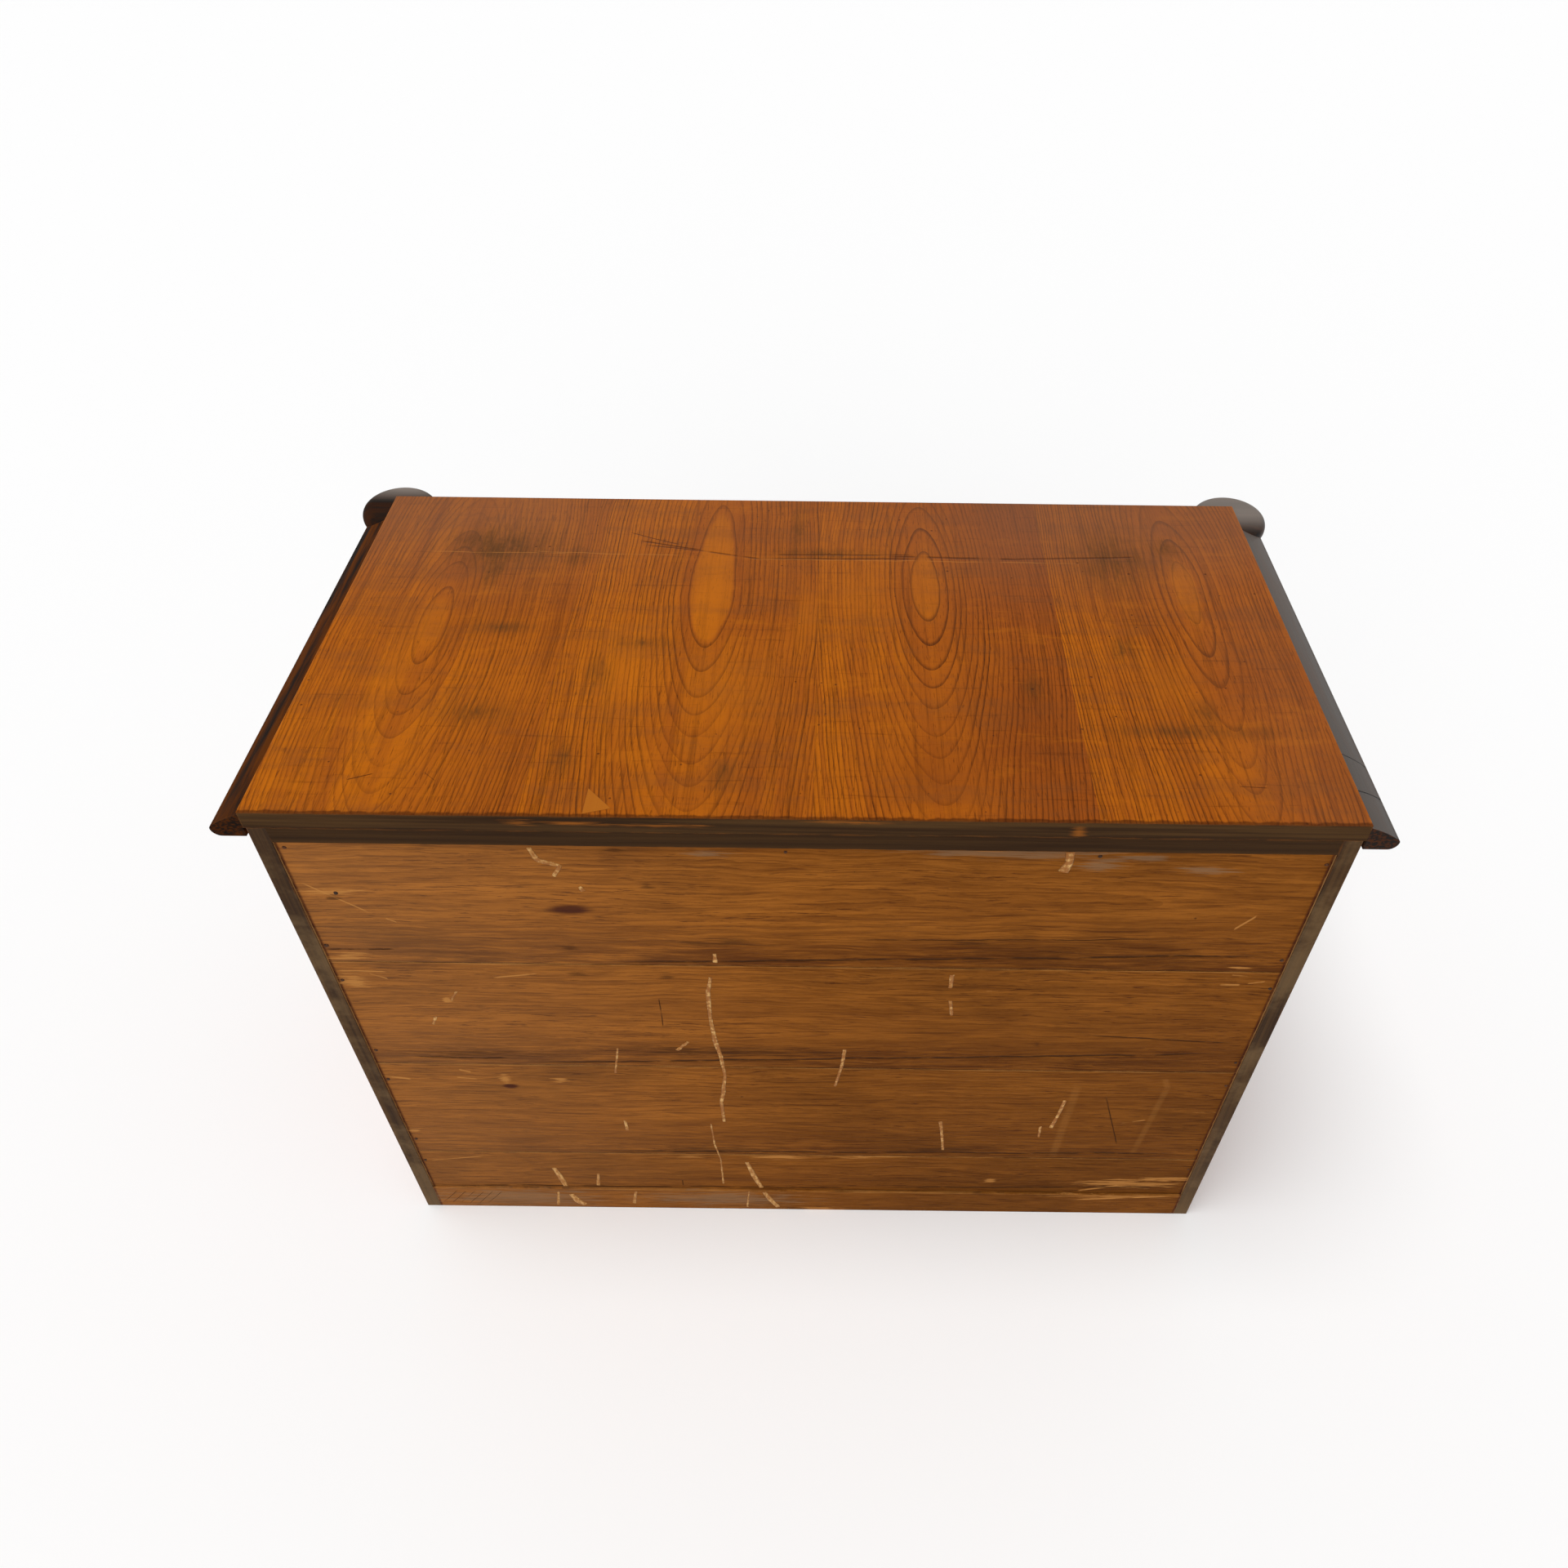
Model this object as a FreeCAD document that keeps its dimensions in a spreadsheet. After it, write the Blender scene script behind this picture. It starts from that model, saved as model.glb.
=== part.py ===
import FreeCAD, Part
import math
import os
from types import SimpleNamespace

import Sketcher
from FreeCAD import Vector

# A three-drawer chest of about 1850: a pine case with a walnut-veneered top and front, ebonised
# mouldings, round moulding ears and turned columns at the front corners, and a back of four pine boards.
# The front looks along -Y, Z is up, and the origin is on the floor in the middle of the whole chest.

# Driving dimensions in millimetres.
SIZES = {
    # The veneered top and the whole chest
    "top_width": 1120,
    "top_depth": 592,
    "chest_height": 826,
    "veneer_thick": 1,
    "veneer_leaf_1_width": 264,
    "veneer_leaf_2_width": 288,
    "veneer_leaf_3_width": 292,
    "top_board_thick": 21,
    "top_overhang": 3,
    # Ebonised moulding round the top
    "mould_projection": 34,
    "mould_height": 34,
    "mould_step": 4,
    "mould_low_round": 10,
    "mould_shoulder_in": 4,
    "mould_shoulder_rise": 5,
    "mould_crown_radius": 110,
    # Round ears over the columns, and the round plinth blocks under them
    "ear_radius": 49,
    "ear_inset_side": 4,
    "ear_inset_front": 10,
    "ear_drop": 2.5,
    "ear_top_round": 17,
    "ear_low_round": 13,
    "plinth_disc_radius": 44,
    "plinth_disc_round": 5,
    # Case boards
    "side_thick": 27,
    "rebate_width": 8,
    "back_board_thick": 12,
    "back_recess": 3,
    "back_board_gap": 0.8,
    "top_back_rail_height": 21,
    "base_back_rail_height": 55,
    "back_board_1_height": 200,
    "back_board_2_height": 208,
    "back_board_3_height": 220,
    "bottom_thick": 12,
    "dado_depth": 6,
    # Corner posts and front rails
    "post_width": 52,
    "post_depth": 64,
    "tongue_thick": 9,
    "tongue_length": 10,
    "top_rail_height": 24,
    "divider_thick": 20,
    "tenon_length": 16,
    "tenon_thick": 9,
    "tenon_inset": 12,
    # Plinth
    "plinth_height": 90,
    "plinth_thick": 26,
    "plinth_projection": 12,
    # Turned columns
    "column_ring_radius": 38,
    "column_base_disc": 14,
    "column_bead": 8,
    "column_fillet": 3,
    "column_foot_radius": 33,
    "column_neck_radius": 29,
    "column_astragal": 4,
    "column_necking": 28,
    "column_abacus": 12,
    # Runners, guides and stops
    "runner_reach": 24,
    "guide_height": 26,
    "stop_width": 40,
    "stop_depth": 30,
    "stop_height": 6,
    "stop_clearance": 0.3,
    "stop_spread": 230,
    # Drawers
    "drawer_1_height": 200,
    "drawer_2_height": 218,
    "drawer_side_gap": 1.5,
    "drawer_top_gap": 1.5,
    "drawer_front_lift": 1,
    "drawer_lift": 0.3,
    "drawer_front_thick": 22,
    "drawer_side_thick": 12,
    "drawer_side_drop": 8,
    "drawer_back_thick": 12,
    "drawer_back_drop": 16,
    "drawer_bottom_thick": 7,
    "drawer_bottom_rise": 8,
    "drawer_groove": 5,
    "drawer_rear_gap": 24,
    "dovetail_lap": 6,
    "dovetail_width": 27,
    "dovetail_flare": 3,
    "pin_width": 12,
    # Turned knobs
    "knob_spread": 300,
    "knob_dowel_radius": 6,
    "knob_dowel_length": 16,
    "knob_base_radius": 13,
    "knob_base_rim": 3,
    "knob_neck_radius": 8,
    "knob_neck_end": 13,
    "knob_neck_cove": 12,
    "knob_radius": 18,
    "knob_widest": 20,
    "knob_length": 30,
    # Locks and key
    "escutcheon_width": 30,
    "escutcheon_height": 52,
    "escutcheon_thick": 1.5,
    "lock_width": 70,
    "lock_height": 50,
    "lock_depth": 13,
    "lock_let_in": 4,
    "lock_wall": 2,
    "lock_clearance": 0.3,
    "bolt_width": 30,
    "bolt_length": 26,
    "bolt_thick": 4,
    "bolt_throw": 9,
    "mortise_clearance": 1,
    "key_drop": 30,
    "key_reach": 23,
    "key_stem_radius": 3,
    "key_collar_radius": 4.6,
    "key_collar_length": 4,
    "key_bow_radius": 9.5,
    "key_bow_wire": 2.4,
    "key_bit_length": 9,
    "key_bit_width": 4,
    "key_bit_thick": 2,
    "keyhole_clearance": 0.5,
}
FRONT_TAILS = 4
BACK_PINS = 3
LEFT = -1
RIGHT = 1
SIDE_NAMES = {LEFT: "left", RIGHT: "right"}


class Size:
    """A length in millimetres together with the sheet formula that gives it."""

    def __init__(self, value, formula):
        self.value = value
        self.formula = formula

    def __add__(self, other):
        other = as_size(other)
        return Size(self.value + other.value, f"({self.formula} + {other.formula})")

    def __radd__(self, other):
        return as_size(other) + self

    def __sub__(self, other):
        other = as_size(other)
        return Size(self.value - other.value, f"({self.formula} - {other.formula})")

    def __rsub__(self, other):
        return as_size(other) - self

    def __mul__(self, other):
        other = as_size(other)
        return Size(self.value * other.value, f"({self.formula} * {other.formula})")

    def __rmul__(self, other):
        return as_size(other) * self

    def __truediv__(self, other):
        other = as_size(other)
        return Size(self.value / other.value, f"({self.formula} / {other.formula})")

    def __neg__(self):
        return as_size(0) - self


def as_size(number):
    if isinstance(number, Size):
        return number
    return Size(float(number), f"({number})")


# The document and its sheet of driving dimensions.
doc = FreeCAD.newDocument("chest_of_drawers")
sheet = doc.addObject("Spreadsheet::Sheet", "Sizes")
for row, (alias, number) in enumerate(SIZES.items(), start=1):
    sheet.set(f"A{row}", alias)
    sheet.set(f"B{row}", str(number))
    sheet.setAlias(f"B{row}", alias)
doc.recompute()
S = SimpleNamespace(**{alias: Size(float(number), f"Sizes.{alias}") for alias, number in SIZES.items()})

# Planes that the pieces are set out from. X planes are on the right side and mirrored for the left.
SIDE_X = S.top_width / 2 - S.top_overhang
INNER_X = SIDE_X - S.side_thick
REBATE_X = INNER_X + S.rebate_width
POST_X = SIDE_X - S.post_width
AXIS_X = S.top_width / 2 - S.ear_inset_side
BACK_Y = (S.top_depth + S.ear_radius - S.ear_inset_front) / 2
BOARD_Y = BACK_Y - S.back_recess - S.back_board_thick
EDGE_Y = BACK_Y - S.top_depth
FRONT_Y = EDGE_Y + S.top_overhang
RAIL_BACK_Y = FRONT_Y + S.post_depth
AXIS_Y = EDGE_Y + S.ear_inset_front
CASE_TOP = S.chest_height - S.veneer_thick - S.top_board_thick
MOULD_LOW = S.chest_height - S.mould_height
BASE_RAIL_LOW = S.plinth_height - S.divider_thick

# The drawer openings from the top down, each a floor and a ceiling. The lowest takes what is left.
CEILING_1 = CASE_TOP - S.top_rail_height
FLOOR_1 = CEILING_1 - S.drawer_1_height
CEILING_2 = FLOOR_1 - S.divider_thick
FLOOR_2 = CEILING_2 - S.drawer_2_height
CEILING_3 = FLOOR_2 - S.divider_thick
OPENINGS = {1: (FLOOR_1, CEILING_1), 2: (FLOOR_2, CEILING_2), 3: (S.plinth_height, CEILING_3)}

# Planes that every drawer shares.
DRAWER_X = POST_X - S.drawer_side_gap
DRAWER_INNER_X = DRAWER_X - S.drawer_side_thick
DRAWER_REAR_Y = BOARD_Y - S.drawer_rear_gap
FRONT_REAR_Y = FRONT_Y + S.drawer_front_thick
LOCK_Y = FRONT_REAR_Y - S.lock_let_in
LOCK_CAVITY_Y = LOCK_Y + S.lock_wall
BOLT_REAR_Y = LOCK_Y + S.lock_depth - S.lock_wall - S.lock_clearance
BOLT_FRONT_Y = BOLT_REAR_Y - S.bolt_thick

parts = []


def part(label, piece):
    """Name a finished piece and keep it for export."""
    piece.Label = label
    parts.append(piece)
    return piece


def bind(piece, **sizes):
    for name, size in sizes.items():
        piece.setExpression(name, as_size(size).formula)


def place(piece, x, y, z):
    for axis, size in zip("xyz", (x, y, z)):
        piece.setExpression(f"Placement.Base.{axis}", as_size(size).formula)


def turn(piece, axis, degrees):
    piece.Placement.Rotation = FreeCAD.Rotation(axis, degrees)


def board(name, x, y, z):
    """A square-edged board between two planes each way."""
    block = doc.addObject("Part::Box", name)
    bind(block, Length=x[1] - x[0], Width=y[1] - y[0], Height=z[1] - z[0])
    place(block, x[0], y[0], z[0])
    return block


def mirrored(side, low, high):
    """A stretch of X from low to high on the right side, or its mirror image on the left."""
    if side == RIGHT:
        return (low, high)
    return (-high, -low)


def centred(half, middle=0):
    return (middle - half, middle + half)


def rod(name, radius, y, x, z):
    """A round bar along Y."""
    bar = doc.addObject("Part::Cylinder", name)
    bind(bar, Radius=radius, Height=y[1] - y[0])
    turn(bar, Vector(1, 0, 0), -90)
    place(bar, x, y[0], z)
    return bar


def dovetail(name, x, y, z_front, z_rear):
    """A block along Y that is z_front tall at its front end and z_rear tall at its rear end."""
    block = doc.addObject("Part::Wedge", name)
    bind(block, Xmin=x[0], Xmax=x[1], X2min=x[0], X2max=x[1], Ymin=y[0], Ymax=y[1])
    bind(block, Zmin=z_front[0], Zmax=z_front[1], Z2min=z_rear[0], Z2max=z_rear[1])
    return block


def joined(name, *pieces):
    fusion = doc.addObject("Part::MultiFuse", name)
    fusion.Shapes = list(pieces)
    return fusion


def cut(name, piece, *cutters):
    for number, cutter in enumerate(cutters, start=1):
        result = doc.addObject("Part::Cut", f"{name}_cut_{number}")
        result.Base = piece
        result.Tool = cutter
        piece = result
    return piece


def group(name, *pieces):
    """Several like solids that share one node."""
    compound = doc.addObject("Part::Compound", name)
    compound.Links = list(pieces)
    return compound


def new_sketch(body):
    """An upright sketch on a body's own XZ plane."""
    sketch = body.newObject("Sketcher::SketchObject", f"{body.Name}_outline")
    plane = next(feature for feature in body.Origin.OriginFeatures if feature.Role == "XZ_Plane")
    sketch.AttachmentSupport = (plane, [""])
    sketch.MapMode = "FlatFace"
    return sketch


def hold(sketch, geometry, point, u, v):
    """Fix one point of a sketch at u, v from the sketch's origin."""
    for kind, axis, size in (("DistanceX", -2, u), ("DistanceY", -1, v)):
        if isinstance(size, Size):
            index = sketch.addConstraint(Sketcher.Constraint(kind, -1, 1, geometry, point, size.value))
            sketch.setExpression(f"Constraints[{index}]", size.formula)
        else:
            sketch.addConstraint(Sketcher.Constraint("PointOnObject", geometry, point, axis))


def arc_centre(start, end, arc):
    """The centre of an arc that runs anticlockwise from start to end, or clockwise if it is hollow."""
    (u0, v0), (u1, v1) = start, end
    if "centre" in arc:
        centre_u = as_size(arc["centre"]).value
        spread = (u1 - centre_u) ** 2 - (u0 - centre_u) ** 2 + v1**2 - v0**2
        return centre_u, spread / (2 * (v1 - v0))
    chord = math.hypot(u1 - u0, v1 - v0)
    rise = math.sqrt(arc["radius"].value ** 2 - chord**2 / 4) / chord
    if arc.get("hollow"):
        rise = -rise
    return (u0 + u1) / 2 - (v1 - v0) * rise, (v0 + v1) / 2 + (u1 - u0) * rise


def draw(sketch, corners, arcs):
    """Draw a closed outline, anticlockwise. arcs maps a corner's number to the arc that starts there."""
    spots = [(as_size(u).value, as_size(v).value) for u, v in corners]
    joints = []
    for number, start in enumerate(spots):
        end = spots[(number + 1) % len(spots)]
        if number not in arcs:
            line = Part.LineSegment(Vector(*start, 0), Vector(*end, 0))
            joints.append((sketch.addGeometry(line), 1, 2))
            continue
        hollow = arcs[number].get("hollow", False)
        centre = arc_centre(start, end, arcs[number])
        angles = [math.atan2(v - centre[1], u - centre[0]) for u, v in (start, end)]
        if hollow:
            angles.reverse()
        circle = Part.Circle(Vector(*centre, 0), Vector(0, 0, 1), math.dist(centre, start))
        geometry = sketch.addGeometry(Part.ArcOfCircle(circle, *angles))
        joints.append((geometry, 2, 1) if hollow else (geometry, 1, 2))
    for number, (geometry, first, last) in enumerate(joints):
        following, next_first, _ = joints[(number + 1) % len(joints)]
        sketch.addConstraint(Sketcher.Constraint("Coincident", geometry, last, following, next_first))
        hold(sketch, geometry, first, *corners[number])
        if number in arcs and "radius" in arcs[number]:
            radius = arcs[number]["radius"]
            index = sketch.addConstraint(Sketcher.Constraint("Radius", geometry, radius.value))
            sketch.setExpression(f"Constraints[{index}]", radius.formula)
        elif number in arcs:
            hold_centre(sketch, geometry, arcs[number]["centre"])


def hold_centre(sketch, geometry, u):
    """Fix an arc's centre at u across the sketch. Its height follows from the arc's two ends."""
    if isinstance(u, Size):
        index = sketch.addConstraint(Sketcher.Constraint("DistanceX", -1, 1, geometry, 3, u.value))
        sketch.setExpression(f"Constraints[{index}]", u.formula)
    else:
        sketch.addConstraint(Sketcher.Constraint("PointOnObject", geometry, 3, -2))


def turned(name, corners, arcs):
    """A piece turned about its own Z axis from half of its section."""
    body = doc.addObject("PartDesign::Body", name)
    sketch = new_sketch(body)
    draw(sketch, corners, arcs)
    revolution = body.newObject("PartDesign::Revolution", f"{name}_turning")
    revolution.Profile = sketch
    revolution.ReferenceAxis = (sketch, ["V_Axis"])
    revolution.Angle = 360
    return body


def planed(name, corners, arcs, length):
    """A bar of constant section that runs from its own origin towards its own -Y."""
    body = doc.addObject("PartDesign::Body", name)
    sketch = new_sketch(body)
    draw(sketch, corners, arcs)
    pad = body.newObject("PartDesign::Pad", f"{name}_length")
    pad.Profile = sketch
    bind(pad, Length=length)
    return body


# The front of the case: rails tenoned between the corner posts, with a mortise over each lock.
def front_rail(label, z, drawer=None):
    rail = board(f"{label}_board", centred(POST_X), (FRONT_Y, RAIL_BACK_Y), z)
    tenon_x = centred(POST_X + S.tenon_length)
    tenon_y = (FRONT_Y + S.tenon_inset, RAIL_BACK_Y - S.tenon_inset)
    tenon_z = centred(S.tenon_thick / 2, (z[0] + z[1]) / 2)
    rail = joined(f"{label}_blank", rail, board(f"{label}_tenons", tenon_x, tenon_y, tenon_z))
    if drawer is None:
        return part(label, rail)
    ceiling = OPENINGS[drawer][1]
    mortise_x = centred(S.bolt_width / 2 + S.mortise_clearance)
    mortise_y = (BOLT_FRONT_Y - S.mortise_clearance, BOLT_REAR_Y + S.mortise_clearance)
    mortise_z = (ceiling, ceiling + S.bolt_throw)
    return part(label, cut(label, rail, board(f"{label}_mortise", mortise_x, mortise_y, mortise_z)))


front_rails = [
    front_rail("top_front_rail", (CEILING_1, CASE_TOP), drawer=1),
    front_rail("upper_divider", (CEILING_2, FLOOR_1), drawer=2),
    front_rail("lower_divider", (CEILING_3, FLOOR_2), drawer=3),
]
base_front_rail = front_rail("base_front_rail", (BASE_RAIL_LOW, S.plinth_height))


# Runners behind each rail, housed in the sides, with a guide glued on each, and kickers over the top drawer.
run_y = (RAIL_BACK_Y, BOARD_Y)
runners = {}
for drawer, (floor, _) in OPENINGS.items():
    guides = []
    for side, name in SIDE_NAMES.items():
        runner_x = mirrored(side, POST_X - S.runner_reach, INNER_X + S.dado_depth)
        runner_z = (floor - S.divider_thick, floor)
        runners[drawer, side] = board(f"runner_{drawer}_{name}", runner_x, run_y, runner_z)
        guide_z = (floor, floor + S.guide_height)
        guides.append(board(f"guide_{drawer}_{name}", mirrored(side, POST_X, INNER_X), run_y, guide_z))
    pair = group(f"runner_pair_{drawer}", runners[drawer, LEFT], runners[drawer, RIGHT], *guides)
    part(f"drawer_{drawer}_runners", pair)

kickers = []
for side, name in SIDE_NAMES.items():
    x = mirrored(side, POST_X - S.runner_reach, INNER_X)
    kickers.append(board(f"kicker_{name}", x, run_y, (CEILING_1, CASE_TOP)))
part("drawer_kickers", group("kicker_pair", *kickers))

stops = []
stop_low = FRONT_REAR_Y + S.stop_clearance
for drawer, (floor, _) in OPENINGS.items():
    for side, name in SIDE_NAMES.items():
        x = mirrored(side, *centred(S.stop_width / 2, S.stop_spread))
        y = (stop_low, stop_low + S.stop_depth)
        stops.append(board(f"stop_{drawer}_{name}", x, y, (floor, floor + S.stop_height)))
part("drawer_stops", group("stop_set", *stops))

bottom_z = (BASE_RAIL_LOW - S.bottom_thick, BASE_RAIL_LOW)
bottom_board = board("bottom_panel", centred(INNER_X + S.dado_depth), run_y, bottom_z)
part("bottom_board", bottom_board)


# Sides: rebated for the back, housed for runners and bottom, tongued into the corner posts.
def case_side(side):
    name = SIDE_NAMES[side]
    plank = board(f"{name}_plank", mirrored(side, INNER_X, SIDE_X), (RAIL_BACK_Y, BACK_Y), (0, CASE_TOP))
    middle = (INNER_X + SIDE_X) / 2
    tongue_x = mirrored(side, *centred(S.tongue_thick / 2, middle))
    tongue_y = (RAIL_BACK_Y - S.tongue_length, RAIL_BACK_Y)
    tongue = board(f"{name}_tongue", tongue_x, tongue_y, (S.plinth_height, CASE_TOP))
    rebate = board(f"{name}_rebate", mirrored(side, INNER_X, REBATE_X), (BOARD_Y, BACK_Y), (0, CASE_TOP))
    plank = joined(f"{name}_side_blank", plank, tongue)
    housed = [runners[drawer, side] for drawer in OPENINGS]
    return part(f"{name}_side", cut(f"{name}_side", plank, rebate, bottom_board, *housed))


case_sides = {side: case_side(side) for side in SIDE_NAMES}


# Corner posts: mortised for the rails and grooved for the side's tongue.
for side, name in SIDE_NAMES.items():
    x = mirrored(side, POST_X, SIDE_X)
    post = board(f"{name}_post_blank", x, (FRONT_Y, RAIL_BACK_Y), (S.plinth_height, CASE_TOP))
    part(f"{name}_post", cut(f"{name}_post", post, case_sides[side], *front_rails))


# Three-quarter columns: turned whole, then a quarter is sawn out to clasp the corner of the case.
def column(side):
    ring = S.column_ring_radius
    foot = S.column_foot_radius
    neck = S.column_neck_radius
    length = MOULD_LOW - S.plinth_height
    bead_low = S.column_base_disc
    bead_top = bead_low + 2 * S.column_bead
    shaft_low = bead_top + S.column_fillet
    abacus_low = length - S.column_abacus
    ovolo_low = abacus_low - (ring - neck)
    astragal_top = ovolo_low - S.column_necking
    astragal_low = astragal_top - 2 * S.column_astragal
    corners = [
        (0, 0),
        (ring, 0),
        (ring, bead_low),
        (ring - S.column_bead, bead_low),
        (ring - S.column_bead, bead_top),
        (foot + S.column_fillet, bead_top),
        (foot + S.column_fillet, shaft_low),
        (foot, shaft_low),
        (neck, astragal_low),
        (neck, astragal_top),
        (neck, ovolo_low),
        (ring, abacus_low),
        (ring, length),
        (0, length),
    ]
    arcs = {3: {"centre": ring - S.column_bead}, 8: {"centre": neck}, 10: {"centre": neck}}
    name = f"{SIDE_NAMES[side]}_column"
    body = turned(f"{name}_turning", corners, arcs)
    place(body, side * AXIS_X, AXIS_Y, S.plinth_height)
    quarter_x = mirrored(side, AXIS_X - 2 * ring, SIDE_X)
    quarter_y = (FRONT_Y, AXIS_Y + 2 * ring)
    quarter = board(f"{name}_quarter", quarter_x, quarter_y, (S.plinth_height, MOULD_LOW))
    return part(name, cut(name, body, quarter))


for side in SIDE_NAMES:
    column(side)


# Top: a pine board over the case with four leaves of walnut veneer. The last leaf takes what is left.
half_top = S.top_width / 2
top_y = (EDGE_Y, BACK_Y)
veneer_low = CASE_TOP + S.top_board_thick
part("top_board", board("top_panel", centred(half_top), top_y, (CASE_TOP, veneer_low)))
leaf_edges = [-half_top]
for width in (S.veneer_leaf_1_width, S.veneer_leaf_2_width, S.veneer_leaf_3_width):
    leaf_edges.append(leaf_edges[-1] + width)
leaf_edges.append(half_top)
leaves = []
for number in range(1, len(leaf_edges)):
    x = (leaf_edges[number - 1], leaf_edges[number])
    leaves.append(board(f"leaf_{number}", x, top_y, (veneer_low, S.chest_height)))
part("top_veneer", group("veneer_leaves", *leaves))


# Round ears over the columns: turned discs notched to clasp the corner of the top.
def ear_disc(side):
    height = S.mould_height - S.ear_drop
    radius = S.ear_radius
    corners = [
        (0, 0),
        (radius - S.ear_low_round, 0),
        (radius, S.ear_low_round),
        (radius, height - S.ear_top_round),
        (radius - S.ear_top_round, height),
        (0, height),
    ]
    arcs = {1: {"centre": radius - S.ear_low_round}, 3: {"centre": radius - S.ear_top_round}}
    disc = turned(f"{SIDE_NAMES[side]}_ear_disc", corners, arcs)
    place(disc, side * AXIS_X, AXIS_Y, MOULD_LOW)
    return disc


ear_discs = {side: ear_disc(side) for side in SIDE_NAMES}
for side, name in SIDE_NAMES.items():
    corner_x = mirrored(side, AXIS_X - S.ear_radius, half_top)
    corner_y = (EDGE_Y, AXIS_Y + S.ear_radius)
    corner = board(f"{name}_ear_corner", corner_x, corner_y, (MOULD_LOW, S.chest_height))
    part(f"{name}_ear", cut(f"{name}_ear", ear_discs[side], corner))


# Moulding on the edges of the top, coped to the ears.
def moulding(name, length):
    nose = S.mould_projection
    shoulder = nose - S.mould_shoulder_in
    shoulder_top = S.mould_low_round + S.mould_shoulder_rise
    nose_square = S.mould_shoulder_in * S.mould_shoulder_in + S.mould_shoulder_rise * S.mould_shoulder_rise
    nose_radius = nose_square / (2 * S.mould_shoulder_in)
    corners = [
        (0, 0),
        (nose - S.mould_low_round, 0),
        (nose, S.mould_low_round),
        (shoulder, shoulder_top),
        (0, S.mould_height - S.mould_step),
    ]
    arcs = {
        1: {"centre": nose - S.mould_low_round},
        2: {"centre": nose - nose_radius},
        3: {"radius": S.mould_crown_radius},
    }
    return planed(name, corners, arcs, length)


side_run = BACK_Y - AXIS_Y
right_bar = moulding("right_moulding_bar", side_run)
place(right_bar, half_top, BACK_Y, MOULD_LOW)
left_bar = moulding("left_moulding_bar", side_run)
turn(left_bar, Vector(0, 0, 1), 180)
place(left_bar, -half_top, AXIS_Y, MOULD_LOW)
front_bar = moulding("front_moulding_bar", 2 * AXIS_X)
turn(front_bar, Vector(0, 0, 1), -90)
place(front_bar, AXIS_X, EDGE_Y, MOULD_LOW)
part("left_top_moulding", cut("left_top_moulding", left_bar, ear_discs[LEFT]))
part("right_top_moulding", cut("right_top_moulding", right_bar, ear_discs[RIGHT]))
part("front_top_moulding", cut("front_top_moulding", front_bar, ear_discs[LEFT], ear_discs[RIGHT]))


# Plinth: a round-fronted block under each post and column, and a board coped between them.
def plinth_block(side):
    name = SIDE_NAMES[side]
    radius = S.plinth_disc_radius
    height = S.plinth_height
    corners = [
        (0, 0),
        (radius, 0),
        (radius, height - S.plinth_disc_round),
        (radius - S.plinth_disc_round, height),
        (0, height),
    ]
    disc = turned(f"{name}_plinth_disc", corners, {2: {"centre": radius - S.plinth_disc_round}})
    place(disc, side * AXIS_X, AXIS_Y, 0)
    foot = board(f"{name}_plinth_foot", mirrored(side, POST_X, SIDE_X), (FRONT_Y, RAIL_BACK_Y), (0, height))
    return joined(f"{name}_plinth_blank", disc, foot)


plinth_blocks = {side: plinth_block(side) for side in SIDE_NAMES}
plinth_section = [
    (0, 0),
    (S.plinth_thick, 0),
    (S.plinth_thick, BASE_RAIL_LOW - S.plinth_projection),
    (S.plinth_thick - S.plinth_projection, BASE_RAIL_LOW),
    (0, BASE_RAIL_LOW),
]
plinth_round = {2: {"centre": S.plinth_thick - S.plinth_projection}}
plinth_bar = planed("plinth_bar", plinth_section, plinth_round, 2 * AXIS_X)
turn(plinth_bar, Vector(0, 0, 1), -90)
place(plinth_bar, AXIS_X, FRONT_Y + S.plinth_thick - S.plinth_projection, 0)
part("plinth_front", cut("plinth_front", plinth_bar, plinth_blocks[LEFT], plinth_blocks[RIGHT]))
for side, name in SIDE_NAMES.items():
    part(f"{name}_plinth_block", cut(f"{name}_plinth_block", plinth_blocks[side], base_front_rail))

# Back: rails and four pine boards nailed into the rebates of the sides.
back_x = centred(REBATE_X)
back_top = CASE_TOP - S.top_back_rail_height
part("top_back_rail", board("top_back_bar", back_x, (BOARD_Y, BACK_Y), (back_top, CASE_TOP)))
part("base_back_rail", board("base_back_bar", back_x, (BOARD_Y, BACK_Y), (0, S.base_back_rail_height)))
seams = [back_top]
for height in (S.back_board_1_height, S.back_board_2_height, S.back_board_3_height):
    seams.append(seams[-1] - height)
seams.append(S.base_back_rail_height)
board_y = (BOARD_Y, BACK_Y - S.back_recess)
for number in range(1, len(seams)):
    z = (seams[number], seams[number - 1] - S.back_board_gap)
    part(f"back_board_{number}", board(f"back_plank_{number}", back_x, board_y, z))


# Locks: a sheet-steel case let into the back of the drawer front, with a bolt that rises out of its top.
def keyhole(drawer, key_z):
    y = (FRONT_Y - S.escutcheon_thick, LOCK_CAVITY_Y)
    radius = S.key_stem_radius + S.keyhole_clearance
    half_slot = S.key_bit_thick / 2 + S.keyhole_clearance
    slot_z = (key_z - S.key_bit_length - S.keyhole_clearance, key_z)
    hole = rod(f"keyhole_{drawer}_round", radius, y, 0, key_z)
    slot = board(f"keyhole_{drawer}_slot", centred(half_slot), y, slot_z)
    return joined(f"keyhole_{drawer}", hole, slot)


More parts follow.
